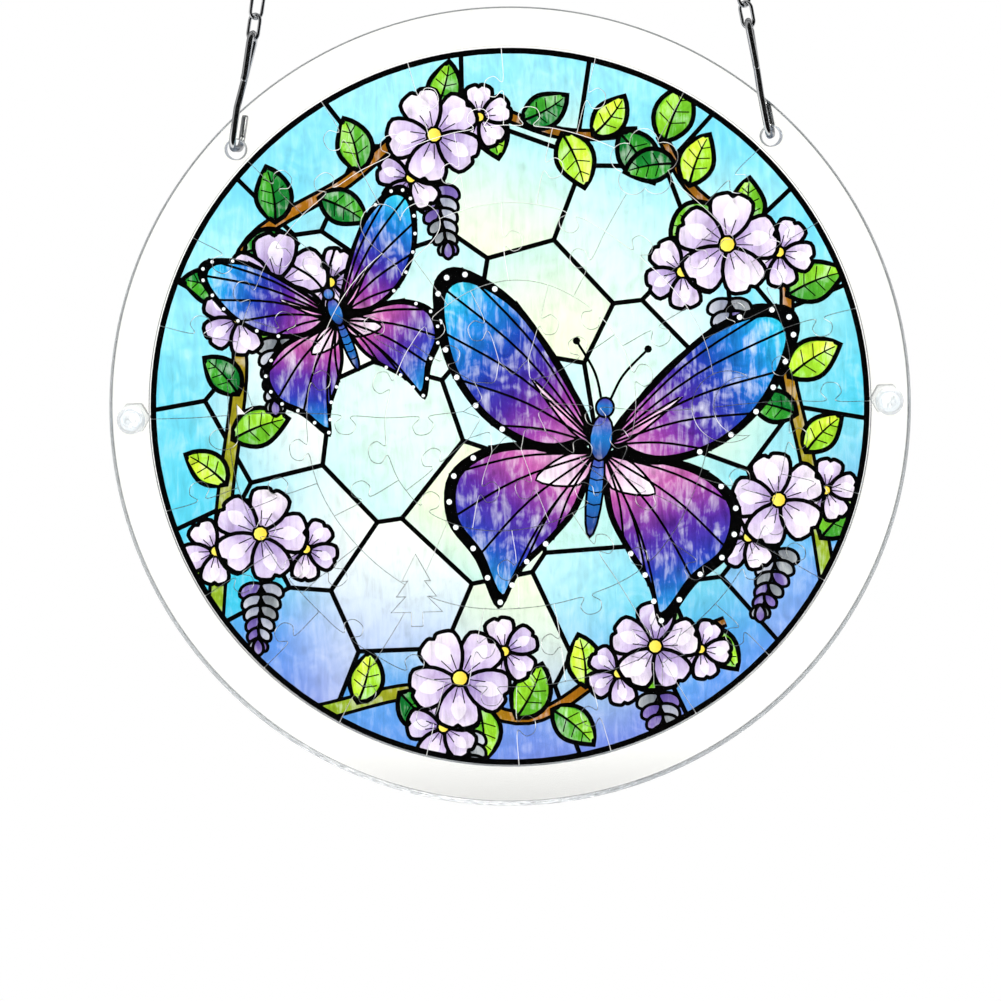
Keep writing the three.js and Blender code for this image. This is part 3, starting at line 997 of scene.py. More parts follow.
    def butterfly(self, centre: complex, span: float, heading: float) -> None:
        """Draws a butterfly with open wings.

        Args:
            centre: the middle of its body.
            span: length of an upper wing.
            heading: degrees that it leans to the left.
        """
        upper = (0.04 + 0.10j, 0.26 + 0.46j, 0.56 + 0.80j, 0.88 + 0.95j, 1.02 + 0.86j, 0.98 + 0.60j,
                 0.86 + 0.34j, 0.62 + 0.10j, 0.28 - 0.02j)
        lower = (0.04 + 0.02j, 0.32 + 0.04j, 0.62 - 0.02j, 0.82 - 0.20j, 0.80 - 0.46j, 0.62 - 0.66j,
                 0.46 - 0.92j, 0.36 - 0.70j, 0.20 - 0.50j, 0.07 - 0.28j)
        for side in Side:
            self.wing(lower, self.palette.lower_wing, centre, span, heading, side)
            self.wing(upper, self.palette.wing, centre, span, heading, side)
        self.body(centre, span, heading)

    def wing(self, points: Sequence[complex], tones: Sequence[str], centre: complex, span: float,
             heading: float, side: Side) -> None:
        """Draws one wing: a dark border with pale spots, cells between the veins and a bright root.

        Args:
            points: its outline as shares of the span, for the right side.
            tones: its colours from root to tip.
            centre: the middle of the butterfly's body.
            span: the length that the shares are of.
            heading: degrees that the butterfly leans to the left.
            side: which side the wing is on.
        """
        def place(shape: Outline) -> Outline:
            """Puts a part of the right wing, or its mirror image, in its place."""
            turned = shape if side is Side.RIGHT else -shape.conj()[::-1]
            return centre + span * polar(1, heading) * turned

        edge = smooth(points, 5, closed=True)
        pivot = edge.mean() * 0.82
        root = points[0] * 0.6
        cells = pivot + 0.86 * (edge - pivot)
        far = np.array(points)[np.argmax(np.abs(points))]
        self.fill(place(edge), flat(self.palette.lead))
        shade = along(place(np.array([root]))[0], place(np.array([far * 0.95]))[0], tones)
        self.fill(place(cells), shade, 1.0)
        oval = smooth([root, root + 0.18 * (points[3] - root) + 0.03, root + 0.40 * (points[4] - root),
                       root + 0.20 * (points[6] - root) - 0.02], 4, closed=True)
        self.fill(place(oval), along(place(oval[:1])[0], place(oval[8:9])[0],
                                     (tones[1], tones[0], "#F6E9F6")), 0.8)
        for goal in points[2:-1]:
            bend = 0.5 * (root + goal) + 0.05j * (goal - root)
            vein = smooth([root, bend, goal], 5)
            self.line(place(vein), self.vein)
        self.line(place(np.append(oval, oval[0])), self.vein)
        for spot in range(12, len(edge) - 8, 3):
            border = 0.55 * edge[spot] + 0.45 * cells[spot]
            self.fill(place(circle(0.016, 7, border)), flat(self.palette.spots))

    def body(self, centre: complex, span: float, heading: float) -> None:
        """Draws a butterfly's body in three parts, with its feelers.

        Args:
            centre: its middle.
            span: length of an upper wing.
            heading: degrees that it leans to the left.
        """
        def place(shape: Outline) -> Outline:
            """Puts a part of the body in its place."""
            return centre + span * polar(1, heading) * shape

        for turn in (-1, 1):
            feeler = smooth([0.02 * turn + 0.30j, 0.08 * turn + 0.46j, 0.20 * turn + 0.62j], 5)
            self.line(place(feeler), self.vein * 1.1)
            self.fill(place(circle(0.022, 8, feeler[-1])), flat(self.palette.lead))
        tail, chest, head = (-0.20j, 0.045, 0.26), (0.10j, 0.065, 0.13), (0.27j, 0.05, 0.055)
        unit = circle(1, 16)
        for middle, half_width, half_height in (tail, chest, head):
            part = middle + unit.real * half_width + 1j * unit.imag * half_height
            low, high = place(middle - 1j * half_height), place(middle + 1j * half_height)
            self.pane(place(part), along(complex(low), complex(high), self.palette.body), 0.5, self.vein)
        for height in np.linspace(-0.34, -0.06, 5):
            self.line(place(np.array([-0.04 + 1j * height, -0.01j + 1j * height, 0.04 + 1j * height])),
                      self.vein * 0.6)


@dataclass
class CutPattern:
    """Where the puzzle is cut.

    Attributes:
        radius: of the whole puzzle.
        gap: width of a cut.
        star: radius of the middle piece over its points.
        star_valley: its radius between them.
        ring_pieces: how many pieces each ring has, from the star outwards.
        knob_head: width of a knob.
        knob_neck: its width where it leaves the cut.
        knob_reach: its height.
        knob_shoulder: least cut without a knob on each side of one.
        sway: how far the cuts wander from an even pattern.
        sway_length: how long that wandering is.
        sway_phase: what sets it off between the two directions, in radians.
        knob_turn: degrees round a circle after which its knobs point the other way.
        shape_size: height of a shaped piece.
    """

    radius: float = 90
    gap: float = 0.16
    star: float = 11.8
    star_valley: float = 7.8
    ring_pieces: tuple[int, ...] = (10, 12, 18, 24)
    knob_head: float = 5.2
    knob_neck: float = 2.8
    knob_reach: float = 4.4
    knob_shoulder: float = 2.4
    sway: float = 1.4
    sway_length: float = 11
    sway_phase: float = 1
    knob_turn: float = 7
    shape_size: float = 18
    shapes: dict[str, tuple[complex, list[Outline]]] = field(default_factory=dict)

    def __post_init__(self) -> None:
        """Sets out the circles between the rings and the shaped pieces on them."""
        self.ring_depth = (self.radius - self.star) / len(self.ring_pieces)
        self.circles = [self.star + i * self.ring_depth for i in range(len(self.ring_pieces) + 1)]
        self.knob_room = self.knob_head + 2 * self.knob_shoulder
        self.shape_room = self.shape_size / 2 + self.knob_shoulder + self.knob_head / 2
        draw = Shapes(self.shape_size)
        places = {"crescent": (draw.crescent(), 2, 0), "flower": (draw.flower(), 3, 60),
                  "heart": (draw.heart(), 2, 120), "note": (draw.note(), 3, 180),
                  "fir_tree": (draw.fir_tree(), 2, 240), "maple_leaf": (draw.maple_leaf(), 3, 300)}
        for name, (outlines, index, angle) in places.items():
            centre = complex(self.wander(polar(self.circles[index], angle)))
            self.shapes[name] = (centre, [centre + outline for outline in outlines])

    def wander(self, points: Outline) -> Outline:
        """Moves points of the even pattern a little, less towards the puzzle's edge.

        Args:
            points: points of the even pattern.

        Returns:
            The moved points.
        """
        reach = self.sway * (1 - (abs(points) / self.radius) ** 2)
        across = np.sin(np.imag(points) / self.sway_length)
        up = np.sin(np.real(points) / self.sway_length + self.sway_phase)
        return points + reach * (across + 1j * up)

    def cut(self, place: Callable[[Outline], Outline], length: float, side: int) -> Outline:
        """Draws one cut from end to end.

        Args:
            place: turns a distance along the cut and one out of it, as a complex number, into a point.
            length: of the cut.
            side: 1 or -1, which side its knob is on.

        Returns:
            The cut's points.
        """
        middle = complex(self.wander(place(np.array([0j])))[0])
        crowded = any(abs(centre - middle) < self.shape_room for centre, _ in self.shapes.values())
        if crowded or length < self.knob_room:
            return self.wander(place(np.linspace(-length / 2, length / 2, 7) + 0j))
        head, neck, reach = self.knob_head, self.knob_neck, self.knob_reach
        knob = np.array([-neck / 2, -head / 2 + 0.5j * reach, -0.28 * head + 1j * reach,
                         0.28 * head + 1j * reach, head / 2 + 0.5j * reach, neck / 2])
        knob = knob.real + 1j * side * knob.imag
        return self.wander(place(smooth([-length / 2, *knob, length / 2], 5)))

    @staticmethod
    def side_of(number: float) -> int:
        """Gives 1 or -1 by turns."""
        return 1 if math.floor(number + 0.5) % 2 else -1

    def spoke(self, ring: int, degrees: float) -> Outline:
        """Gives the cut along a spoke, from a ring's inner circle to its outer one.

        Args:
            ring: the ring's number, from the star outwards.
            degrees: the spoke's angle.

        Returns:
            The cut's points.
        """
        middle = (self.circles[ring] + self.circles[ring + 1]) / 2
        direction = polar(1, degrees)
        return self.cut(lambda p: (middle + p) * direction, self.ring_depth,
                        self.side_of(degrees * self.ring_pieces[ring] / 360 + ring))

    def arc(self, index: int, start: float, end: float) -> Outline:
        """Gives the cut along a circle between two angles, in stretches from spoke to spoke.

        Args:
            index: the circle's number, from the star outwards.
            start: the first angle in degrees.
            end: the last one.

        Returns:
            The cut's points.
        """
        radius = self.circles[index]
        if index == 0:
            share = np.linspace(0, 1, 9)
            dip = (self.star - self.star_valley) * np.sin(np.pi * share)
            return self.wander(polar(radius - dip, start + (end - start) * share))
        if index == len(self.ring_pieces):
            return polar(radius, np.linspace(start, end, 9))
        spokes = {round(i * 360 / count, 6) for count in self.ring_pieces[index - 1 : index + 1]
                  for i in range(count + 1)}
        stops = [start, *sorted(a for a in spokes if start + 0.01 < a < end - 0.01), end]
        stretches = []
        for first, last in zip(stops, stops[1:]):
            middle = (first + last) / 2
            line = self.cut(
                lambda p, middle=middle: polar(radius + p.imag, middle + np.degrees(p.real / radius)),
                math.radians(last - first) * radius, self.side_of(middle / self.knob_turn + index))
            stretches.append(line[1:] if stretches else line)
        return np.concatenate(stretches)

    def piece(self, ring: int, number: int) -> Outline:
        """Gives the outline of one piece of a ring, counter-clockwise, along the middle of its cuts.

        Args:
            ring: the ring's number, from the star outwards.
            number: the piece's number in its ring.

        Returns:
            The outline.
        """
        step = 360 / self.ring_pieces[ring]
        start, end = number * step, (number + 1) * step
        sides = (self.arc(ring + 1, start, end), self.spoke(ring, end)[::-1],
                 self.arc(ring, start, end)[::-1], self.spoke(ring, start))
        return np.concatenate([side[1:] for side in sides])

    def middle_piece(self) -> Outline:
        """Gives the outline of the star in the middle.

        Returns:
            The outline.
        """
        step = 360 / self.ring_pieces[0]
        stretches = [self.arc(0, i * step, (i + 1) * step)[1:] for i in range(self.ring_pieces[0])]
        return np.concatenate(stretches)


@dataclass(frozen=True)
class Shapes:
    """Outlines of the shaped pieces, each a few overlapping outlines about its own middle.

    Attributes:
        size: height of each.
    """

    size: float

    def crescent(self) -> list[Outline]:
        """Draws a crescent moon.

        Returns:
            Its one outline.
        """
        outer = self.size / 2
        inner, shift = 0.82 * outer, 0.42 * outer
        tip_x = (outer**2 - inner**2 + shift**2) / (2 * shift)
        tip_z = math.sqrt(outer**2 - tip_x**2)
        outer_tip = math.degrees(math.atan2(tip_z, tip_x))
        inner_tip = math.degrees(math.atan2(tip_z, tip_x - shift))
        back = polar(outer, np.linspace(outer_tip, 360 - outer_tip, 33))[:-1]
        hollow = shift + polar(inner, np.linspace(360 - inner_tip, inner_tip, 25))[:-1]
        return [np.concatenate([back, hollow]) + inner - shift]

    def heart(self) -> list[Outline]:
        """Draws a heart.

        Returns:
            Its one outline.
        """
        t = np.arange(48) * 2 * np.pi / 48
        up = 13 * np.cos(t) - 5 * np.cos(2 * t) - 2 * np.cos(3 * t) - np.cos(4 * t) + 2.5
        return [(-16 * np.sin(t) ** 3 + 1j * up) * self.size / 29]

    def flower(self) -> list[Outline]:
        """Draws a flower of five round petals."""
        petals = [circle(0.2 * self.size, 20, polar(0.28 * self.size, 90 + i * 72)) for i in range(5)]
        return [circle(0.22 * self.size, 15), *petals]

    def box(self, left: float, right: float, low: float, high: float) -> Outline:
        """Draws an upright rectangle, its edges as shares of the size."""
        return np.array([left + 1j * low, right + 1j * low, right + 1j * high, left + 1j * high]) * self.size

    def fir_tree(self) -> list[Outline]:
        """Draws a fir tree of three tiers on a trunk.

        Returns:
            The trunk and the tiers.
        """
        tiers = [np.array([0.08 * i - 0.36, 0.36 - 0.08 * i, 0.38j]) + 1j * (0.22 * i - 0.3)
                 for i in range(3)]
        return [self.box(-0.08, 0.08, -0.5, -0.24), *(tier * self.size for tier in tiers)]

    def note(self) -> list[Outline]:
        """Draws a quaver.

        Returns:
            The head, the stem and the flag.
        """
        ring = circle(1, 20)
        head = 0.2 * ring.real - 0.08 + 1j * (0.15 * ring.imag - 0.33)
        flag = np.array([0.02 + 0.5j, 0.02 + 0.26j, 0.22 + 0.02j, 0.34 + 0.1j, 0.28 + 0.3j])
        return [head * self.size, self.box(0, 0.12, -0.33, 0.5), flag * self.size]

    def maple_leaf(self) -> list[Outline]:
        """Draws a maple leaf of five lobes on its stem.

        Returns:
            The middle, the stem and the lobes.
        """
        lobes = [
            np.array([polar(-0.1, angle), polar(0.6 * reach, angle - 22), polar(reach, angle),
                      polar(0.6 * reach, angle + 22)]) * self.size
            for angle, reach in ((90, 0.5), (40, 0.46), (140, 0.46), (-12, 0.38), (192, 0.38))
        ]
        return [circle(0.2 * self.size, 12), self.box(-0.06, 0.06, -0.5, 0), *lobes]


class Puzzle:
    """The printed puzzle: each piece a sheet with the picture on both faces and clear cut edges, whose grey
    is painted shade.

    Attributes:
        cuts: where it is cut.
        picture: what is printed on it.
    """

    def __init__(self) -> None:
        """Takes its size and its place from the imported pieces."""
        low, high = millimetre_box("puzzle_star")
        self.front, self.back = low.y, high.y
        self.cuts = CutPattern()
        self.picture = Picture(self.cuts.radius)
        self.materials = [PRINTED_SHEET.build(), PUZZLE_CUT.build()]

    def build(self) -> None:
        """Makes all its pieces."""
        half = self.cuts.gap / 2
        cutters = [grow(outline, half) for _, group in self.cuts.shapes.values() for outline in group]
        star = grow(self.cuts.middle_piece(), -half)
        self.sheet("puzzle_star_printed", [star], [], "puzzle_star")
        for ring, count in enumerate(self.cuts.ring_pieces):
            title = "puzzle_edge" if ring == len(self.cuts.ring_pieces) - 1 else f"puzzle_ring_{ring + 1}"
            nodes = [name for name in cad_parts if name.startswith(title)]
            for number in range(count):
                label = f"{number + 1:02d}"
                node = next(name for name in nodes if label in name[len(title):].split("_"))
                blank = grow(self.cuts.piece(ring, number), -half)
                self.sheet(f"{title}_{label}", [blank], cutters, node)
        for name, (_, group) in self.cuts.shapes.items():
            blanks = [grow(outline, -half) for outline in group]
            self.sheet(f"puzzle_{name}_printed", blanks, [], f"puzzle_{name}")

    def sheet(self, name: str, blanks: list[Outline], cutters: list[Outline], node: str) -> None:
        """Makes one piece.

        Args:
            name: the piece's name.
            blanks: outlines that together hold it.
            cutters: outlines that are cut out of it.
            node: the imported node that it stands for.
        """
        points = np.concatenate(blanks)
        low = points.real.min() + 1j * points.imag.min() - 1 - 1j
        high = points.real.max() + 1j * points.imag.max() + 1 + 1j
        near = [Region(outline, flat("#FFFFFF")) for outline in cutters]
        cutters = [area.outline for area in near if area.touches(low, high)]
        areas = [area for area in self.picture.regions if area.touches(low, high)]
        places, triangles = self.triangles([*blanks, *cutters], [area.outline for area in areas], low, high)
        middles = places[triangles].mean(1)
        kept = np.any([inside(middles, outline) for outline in blanks], 0)
        for outline in cutters:
            kept &= ~inside(middles, outline)
        triangles = self.largest(triangles[kept], places)
        middles = places[triangles].mean(1)
        owner = np.zeros(len(triangles), int)
        for number, area in enumerate(areas):
            owner[inside(middles, area.outline)] = number
        used, compact = np.unique(triangles, return_inverse=True)
        compact = compact.reshape(triangles.shape)
        ink = np.ones((len(triangles), 3, 4))
        for number in np.unique(owner):
            mine = owner == number
            corners = places[triangles[mine]]
            ink[mine, :, :3] = areas[number].shade(corners.ravel()).reshape(-1, 3, 3)
            ink[mine, :, 3] = areas[number].streak
        piece = new_piece(name, [(p.real, self.front, p.imag) for p in places[used]], compact.tolist())
        dress(piece, *self.materials)
        layer = piece.data.color_attributes.new(PRINT, "FLOAT_COLOR", "CORNER")
        layer.data.foreach_set("color", ink.ravel().astype(np.float32))
        apply_modifier(piece, "SOLIDIFY", thickness=(self.back - self.front) * MM, offset=-1,
                       material_offset_rim=1)
        finish_piece(piece, "printed_acrylic", node, angle=30)

    @staticmethod
    def triangles(whole: list[Outline], partial: list[Outline], low: complex,
                  high: complex) -> tuple[Outline, np.ndarray]:
        """Fills a flat area with triangles that keep to all the outlines in it.

        Args:
            whole: outlines that are kept whole.
            partial: outlines of which the edges near the area are kept.
            low: the area's lowest corner.
            high: its highest one.

        Returns:
            The points, and the triangles as numbers of points.
        """
        starts = np.concatenate([*whole, *partial])
        ends = np.concatenate([np.roll(outline, -1) for outline in (*whole, *partial)])
        right, left = np.maximum(starts.real, ends.real), np.minimum(starts.real, ends.real)
        top, foot = np.maximum(starts.imag, ends.imag), np.minimum(starts.imag, ends.imag)
        near = (right > low.real) & (left < high.real) & (top > low.imag) & (foot < high.imag)
        near[: sum(map(len, whole))] = True
        starts, ends = starts[near], ends[near]
        points, number = np.unique(np.round(np.concatenate([starts, ends]), 4), return_inverse=True)
        edges = number.reshape(2, -1).T
        edges = edges[edges[:, 0] != edges[:, 1]]
        flat_points = [Vector((p.real, p.imag)) for p in points]
        found, _, faces, *_ = delaunay_2d_cdt(flat_points, edges.tolist(), [], 0, 1e-4, False)
        return np.array([complex(p.x, p.y) for p in found]), np.array([f for f in faces if len(f) == 3])

    @staticmethod
    def largest(triangles: np.ndarray, places: Outline) -> np.ndarray:
        """Keeps the largest connected group of triangles.

        Args:
            triangles: the triangles, as numbers of points.
            places: the points.

        Returns:
            The triangles of that group.
        """
        parent = list(range(len(triangles)))

        def root(i: int) -> int:
            """Gives the first triangle of a triangle's group.

            Args:
                i: the triangle's number.

            Returns:
                The first one's number.
            """
            while parent[i] != i:
                parent[i] = parent[parent[i]]
                i = parent[i]
            return i

        seen: dict[tuple[int, int], int] = {}
        for i, face in enumerate(triangles.tolist()):
            for a, b in ((face[0], face[1]), (face[1], face[2]), (face[2], face[0])):
                key = (min(a, b), max(a, b))
                if key in seen:
                    parent[root(i)] = root(seen[key])
                else:
                    seen[key] = i
        groups = np.array([root(i) for i in range(len(triangles))])
        a, b, c = places[triangles].T
        area = abs(((b - a) * (c - a).conj()).imag) / 2
        names = np.unique(groups)
        best = names[np.argmax([area[groups == name].sum() for name in names])]
        return triangles[groups == best]


class SheetFace(IntEnum):
    """Which material a face of a clear sheet has."""

    POLISHED = 0
    CORNER = 1
    CUT = 2


@dataclass
class ClearFrame:
    """The three clear sheets that hold the puzzle.

    Attributes:
        hang_hole: diameter of a hanging hole.
        hang_hole_place: its distance from the middle of the disc.
        hang_hole_angle: its angle from the right, or from the left for the other hole.
        screw_hole: diameter of a screw hole.
        recess: radius of the middle ring's opening.
        air: gap between two sheets.
        front_corner: width of the dulled corner round the front, a fine line of painted shade.
        back_corner: width of the line round the back.
        corner_steps: how many steps such a corner has.
        sides: how many sides a round edge has.
        hole_sides: how many a small hole has.
    """

    hang_hole: float = 5
    hang_hole_place: float = 94.1
    hang_hole_angle: float = 45
    screw_hole: float = 4.6
    recess: float = 90.4
    air: float = 0.04
    front_corner: float = 0.1
    back_corner: float = 0.22
    corner_steps: int = 2
    sides: int = 256
    hole_sides: int = 48

    def build(self) -> None:
        """Makes the front plate, the spacer ring and the back plate."""
        materials = CLEAR_SHEET.build(), CUT_CORNER.build(), FROSTED_CUT.build()
        for node, title in (("front_plate", "front_sheet"), ("spacer_ring", "middle_ring"),
                            ("back_plate", "back_sheet")):
            low, high = millimetre_box(node)
            near = low.y if node == "front_plate" else low.y + self.air / 2
            far = high.y if node == "back_plate" else high.y - self.air / 2
            piece = dress(cylinder(title, (high.x - low.x) / 2, near, far, self.sides), *materials)
            cutters = self.cutters(near, far)
            if node == "spacer_ring":
                cutters.append(cylinder("cutter", self.recess, near - CUT_PAST, far + CUT_PAST, self.sides))
            cut_away(piece, cutters)
            if node == "front_plate":
                self.dull_corners(piece, near, self.front_corner)
            if node == "back_plate":
                self.dull_corners(piece, far, self.back_corner)
            self.frost(piece)
            finish_piece(piece, "clear_acrylic", node, angle=20)

    def dull_corners(self, piece: Piece, depth: float, width: float) -> None:
        """Bevels a sheet's sharp edges at a depth, and gives the bevels the dulled material, whose grey tint
        is painted shade.

        Args:
            piece: the sheet.
            depth: how far back the edges lie.
            width: of the bevels.
        """
        pick(piece)
        bpy.ops.object.mode_set(mode="EDIT")
        bpy.ops.mesh.select_mode(type="EDGE")
        bpy.ops.mesh.select_all(action="DESELECT")
        bpy.ops.mesh.edges_select_sharp(sharpness=math.radians(CORNER_ANGLE))
        bpy.ops.object.mode_set(mode="OBJECT")
        there = [abs(vertex.co.y / MM - depth) < self.air for vertex in piece.data.vertices]
        for edge in piece.data.edges:
            edge.select = edge.select and all(there[i] for i in edge.vertices)
        bpy.ops.object.mode_set(mode="EDIT")
        bpy.ops.mesh.bevel(offset=width * MM, segments=self.corner_steps, affect="EDGES",
                           material=SheetFace.CORNER)
        bpy.ops.object.mode_set(mode="OBJECT")

    def frost(self, piece: Piece) -> None:
        """Gives the outer edge and the small holes' walls of a sheet the frosted material.

        Args:
            piece: the sheet.
        """
        for face in piece.data.polygons:
            place = complex(face.center.x, face.center.z) / MM - 1j * DISC_HEIGHT
            if abs(place) > self.recess + 0.5 and abs(face.normal.y) < 0.1:
                face.material_index = SheetFace.CUT

    def cutters(self, near: float, far: float) -> list[Piece]:
        """Makes the bars that cut the four small holes.

        Args:
            near: depth of the sheet's front.
            far: depth of its back.

        Returns:
            The bars.
        """
        low, high = millimetre_box("screw_right")
        screw = complex((low.x + high.x) / 2)
        hang = polar(self.hang_hole_place, self.hang_hole_angle)
        places = ((hang, self.hang_hole), (-hang.conjugate(), self.hang_hole),
                  (screw, self.screw_hole), (-screw, self.screw_hole))
        near, far = near - CUT_PAST, far + CUT_PAST
        return [cylinder("cutter", width / 2, near, far, self.hole_sides, complex(place))
                for place, width in places]


@dataclass
class Fasteners:
    """Two clear plastic screws and their nuts.

    Attributes:
        thread: diameter of the thread.
        thread_depth: how deep it is.
        pitch: from one turn of it to the next.
        head: diameter of the head.
        head_height: from the sheet to the top of the head.
        recess_length: of each arm pair of the cross recess.
        recess_width: of an arm.
        recess_depth: of the recess.
        recess_taper: the recess's size at its bottom, as a share of that at its mouth.
        crown: height of the head's dome, as a share of the head.
        chamfer: cut off the screw's end.
        nut_flats: across the nut's flats.
        nut_round: radius of the nut's edges.
        nut_play: between the nut's bore and the thread.
        sides: how many sides the screw and the bore have.
    """

    thread: float = 3.9
    thread_depth: float = 0.4
    pitch: float = 0.7
    head: float = 6.95
    head_height: float = 2.4
    recess_length: float = 3.7
    recess_width: float = 0.85
    recess_depth: float = 1.4
    recess_taper: float = 0.6
    crown: float = 0.78
    chamfer: float = 0.3
    nut_flats: float = 7
    nut_round: float = 0.3
    nut_play: float = 0.2
    sides: int = 40

    def build(self) -> None:
        """Makes a screw and a nut, and copies them to both sides."""
        material = CLEAR_SCREW.build()
        screw, nut = dress(self.screw(), material), dress(self.nut(), material)
        for label in ("left", "right"):
            low, high = millimetre_box(f"screw_{label}")
            across = Matrix.Translation(Vector(((low.x + high.x) / 2, 0, 0)) * MM)
            for master, kind in ((screw, "screw"), (nut, "nut")):
                copy = copy_of(master, f"clear_{kind}_{label}", across)
                finish_piece(copy, "clear_nylon", f"{kind}_{label}")
        bpy.data.objects.remove(screw)
        bpy.data.objects.remove(nut)

    def screw(self) -> Piece:
        """Makes a screw in the middle of the disc, with a domed head, a cross recess and a thread.

        Returns:
            The screw.
        """
        low, high = millimetre_box("screw_left")
        top, end = low.y, high.y
        seat = top + self.head_height
        head = self.head / 2
        dome = [(head * math.sin(a), top + self.crown * self.head_height * (1 - math.cos(a)))
                for a in np.linspace(0, math.pi / 2, 9)]
        crest, root = self.thread / 2, self.thread / 2 - self.thread_depth
        turns = int((end - seat - 1.2) / self.pitch)
        one_turn = (crest, 0), (crest, 0.15), (root, 0.5), (root, 0.65)
        thread = [(radius, seat + 0.3 + (i + share) * self.pitch) for i in range(turns)
                  for radius, share in one_turn]
        profile = [*dome, (head, seat - 0.1), (head - 0.1, seat), (crest, seat), *thread,
                   (root, end - self.chamfer), (root - self.chamfer, end), (0, end)]
        piece = lathe("screw", profile, 0, self.sides)
        cut_away(piece, [self.arm(self.recess_length, self.recess_width, top),
                         self.arm(self.recess_width, self.recess_length, top)])
        return piece

    def arm(self, width: float, height: float, top: float) -> Piece:
        """Makes the cutter for one arm pair of the recess, narrower at its bottom.

        Args:
            width: of the arm pair.
            height: of the arm pair.
            top: depth of the head's top.

        Returns:
            The cutter.
        """
        deselect()
        place = Vector((0, top, DISC_HEIGHT)) * MM
        bpy.ops.mesh.primitive_cube_add(size=1, location=place,
                                        scale=(width * MM, 2 * self.recess_depth * MM, height * MM))
        cutter = bpy.context.object
        bpy.ops.object.transform_apply(location=True, rotation=True, scale=True)
        for vertex in cutter.data.vertices:
            if vertex.co.y > top * MM:
                vertex.co.x = place.x + (vertex.co.x - place.x) * self.recess_taper
                vertex.co.z = place.z + (vertex.co.z - place.z) * self.recess_taper
        return cutter

    def nut(self) -> Piece:
        """Makes a hex nut in the middle of the disc, with rounded corners and a bore.

        Returns:
            The nut.
        """
        low, high = millimetre_box("nut_left")
        corner = self.nut_flats / 2 / math.cos(math.pi / 6)
        piece = cylinder("nut", corner, low.y, high.y, 6, 0, 30)
        bore = self.thread / 2 + self.nut_play
        cut_away(piece, [cylinder("cutter", bore, low.y - CUT_PAST, high.y + CUT_PAST, self.sides)])
        apply_modifier(piece, "BEVEL", width=self.nut_round * MM, segments=3, limit_method="ANGLE",
                       angle_limit=math.radians(CORNER_ANGLE))
        return piece


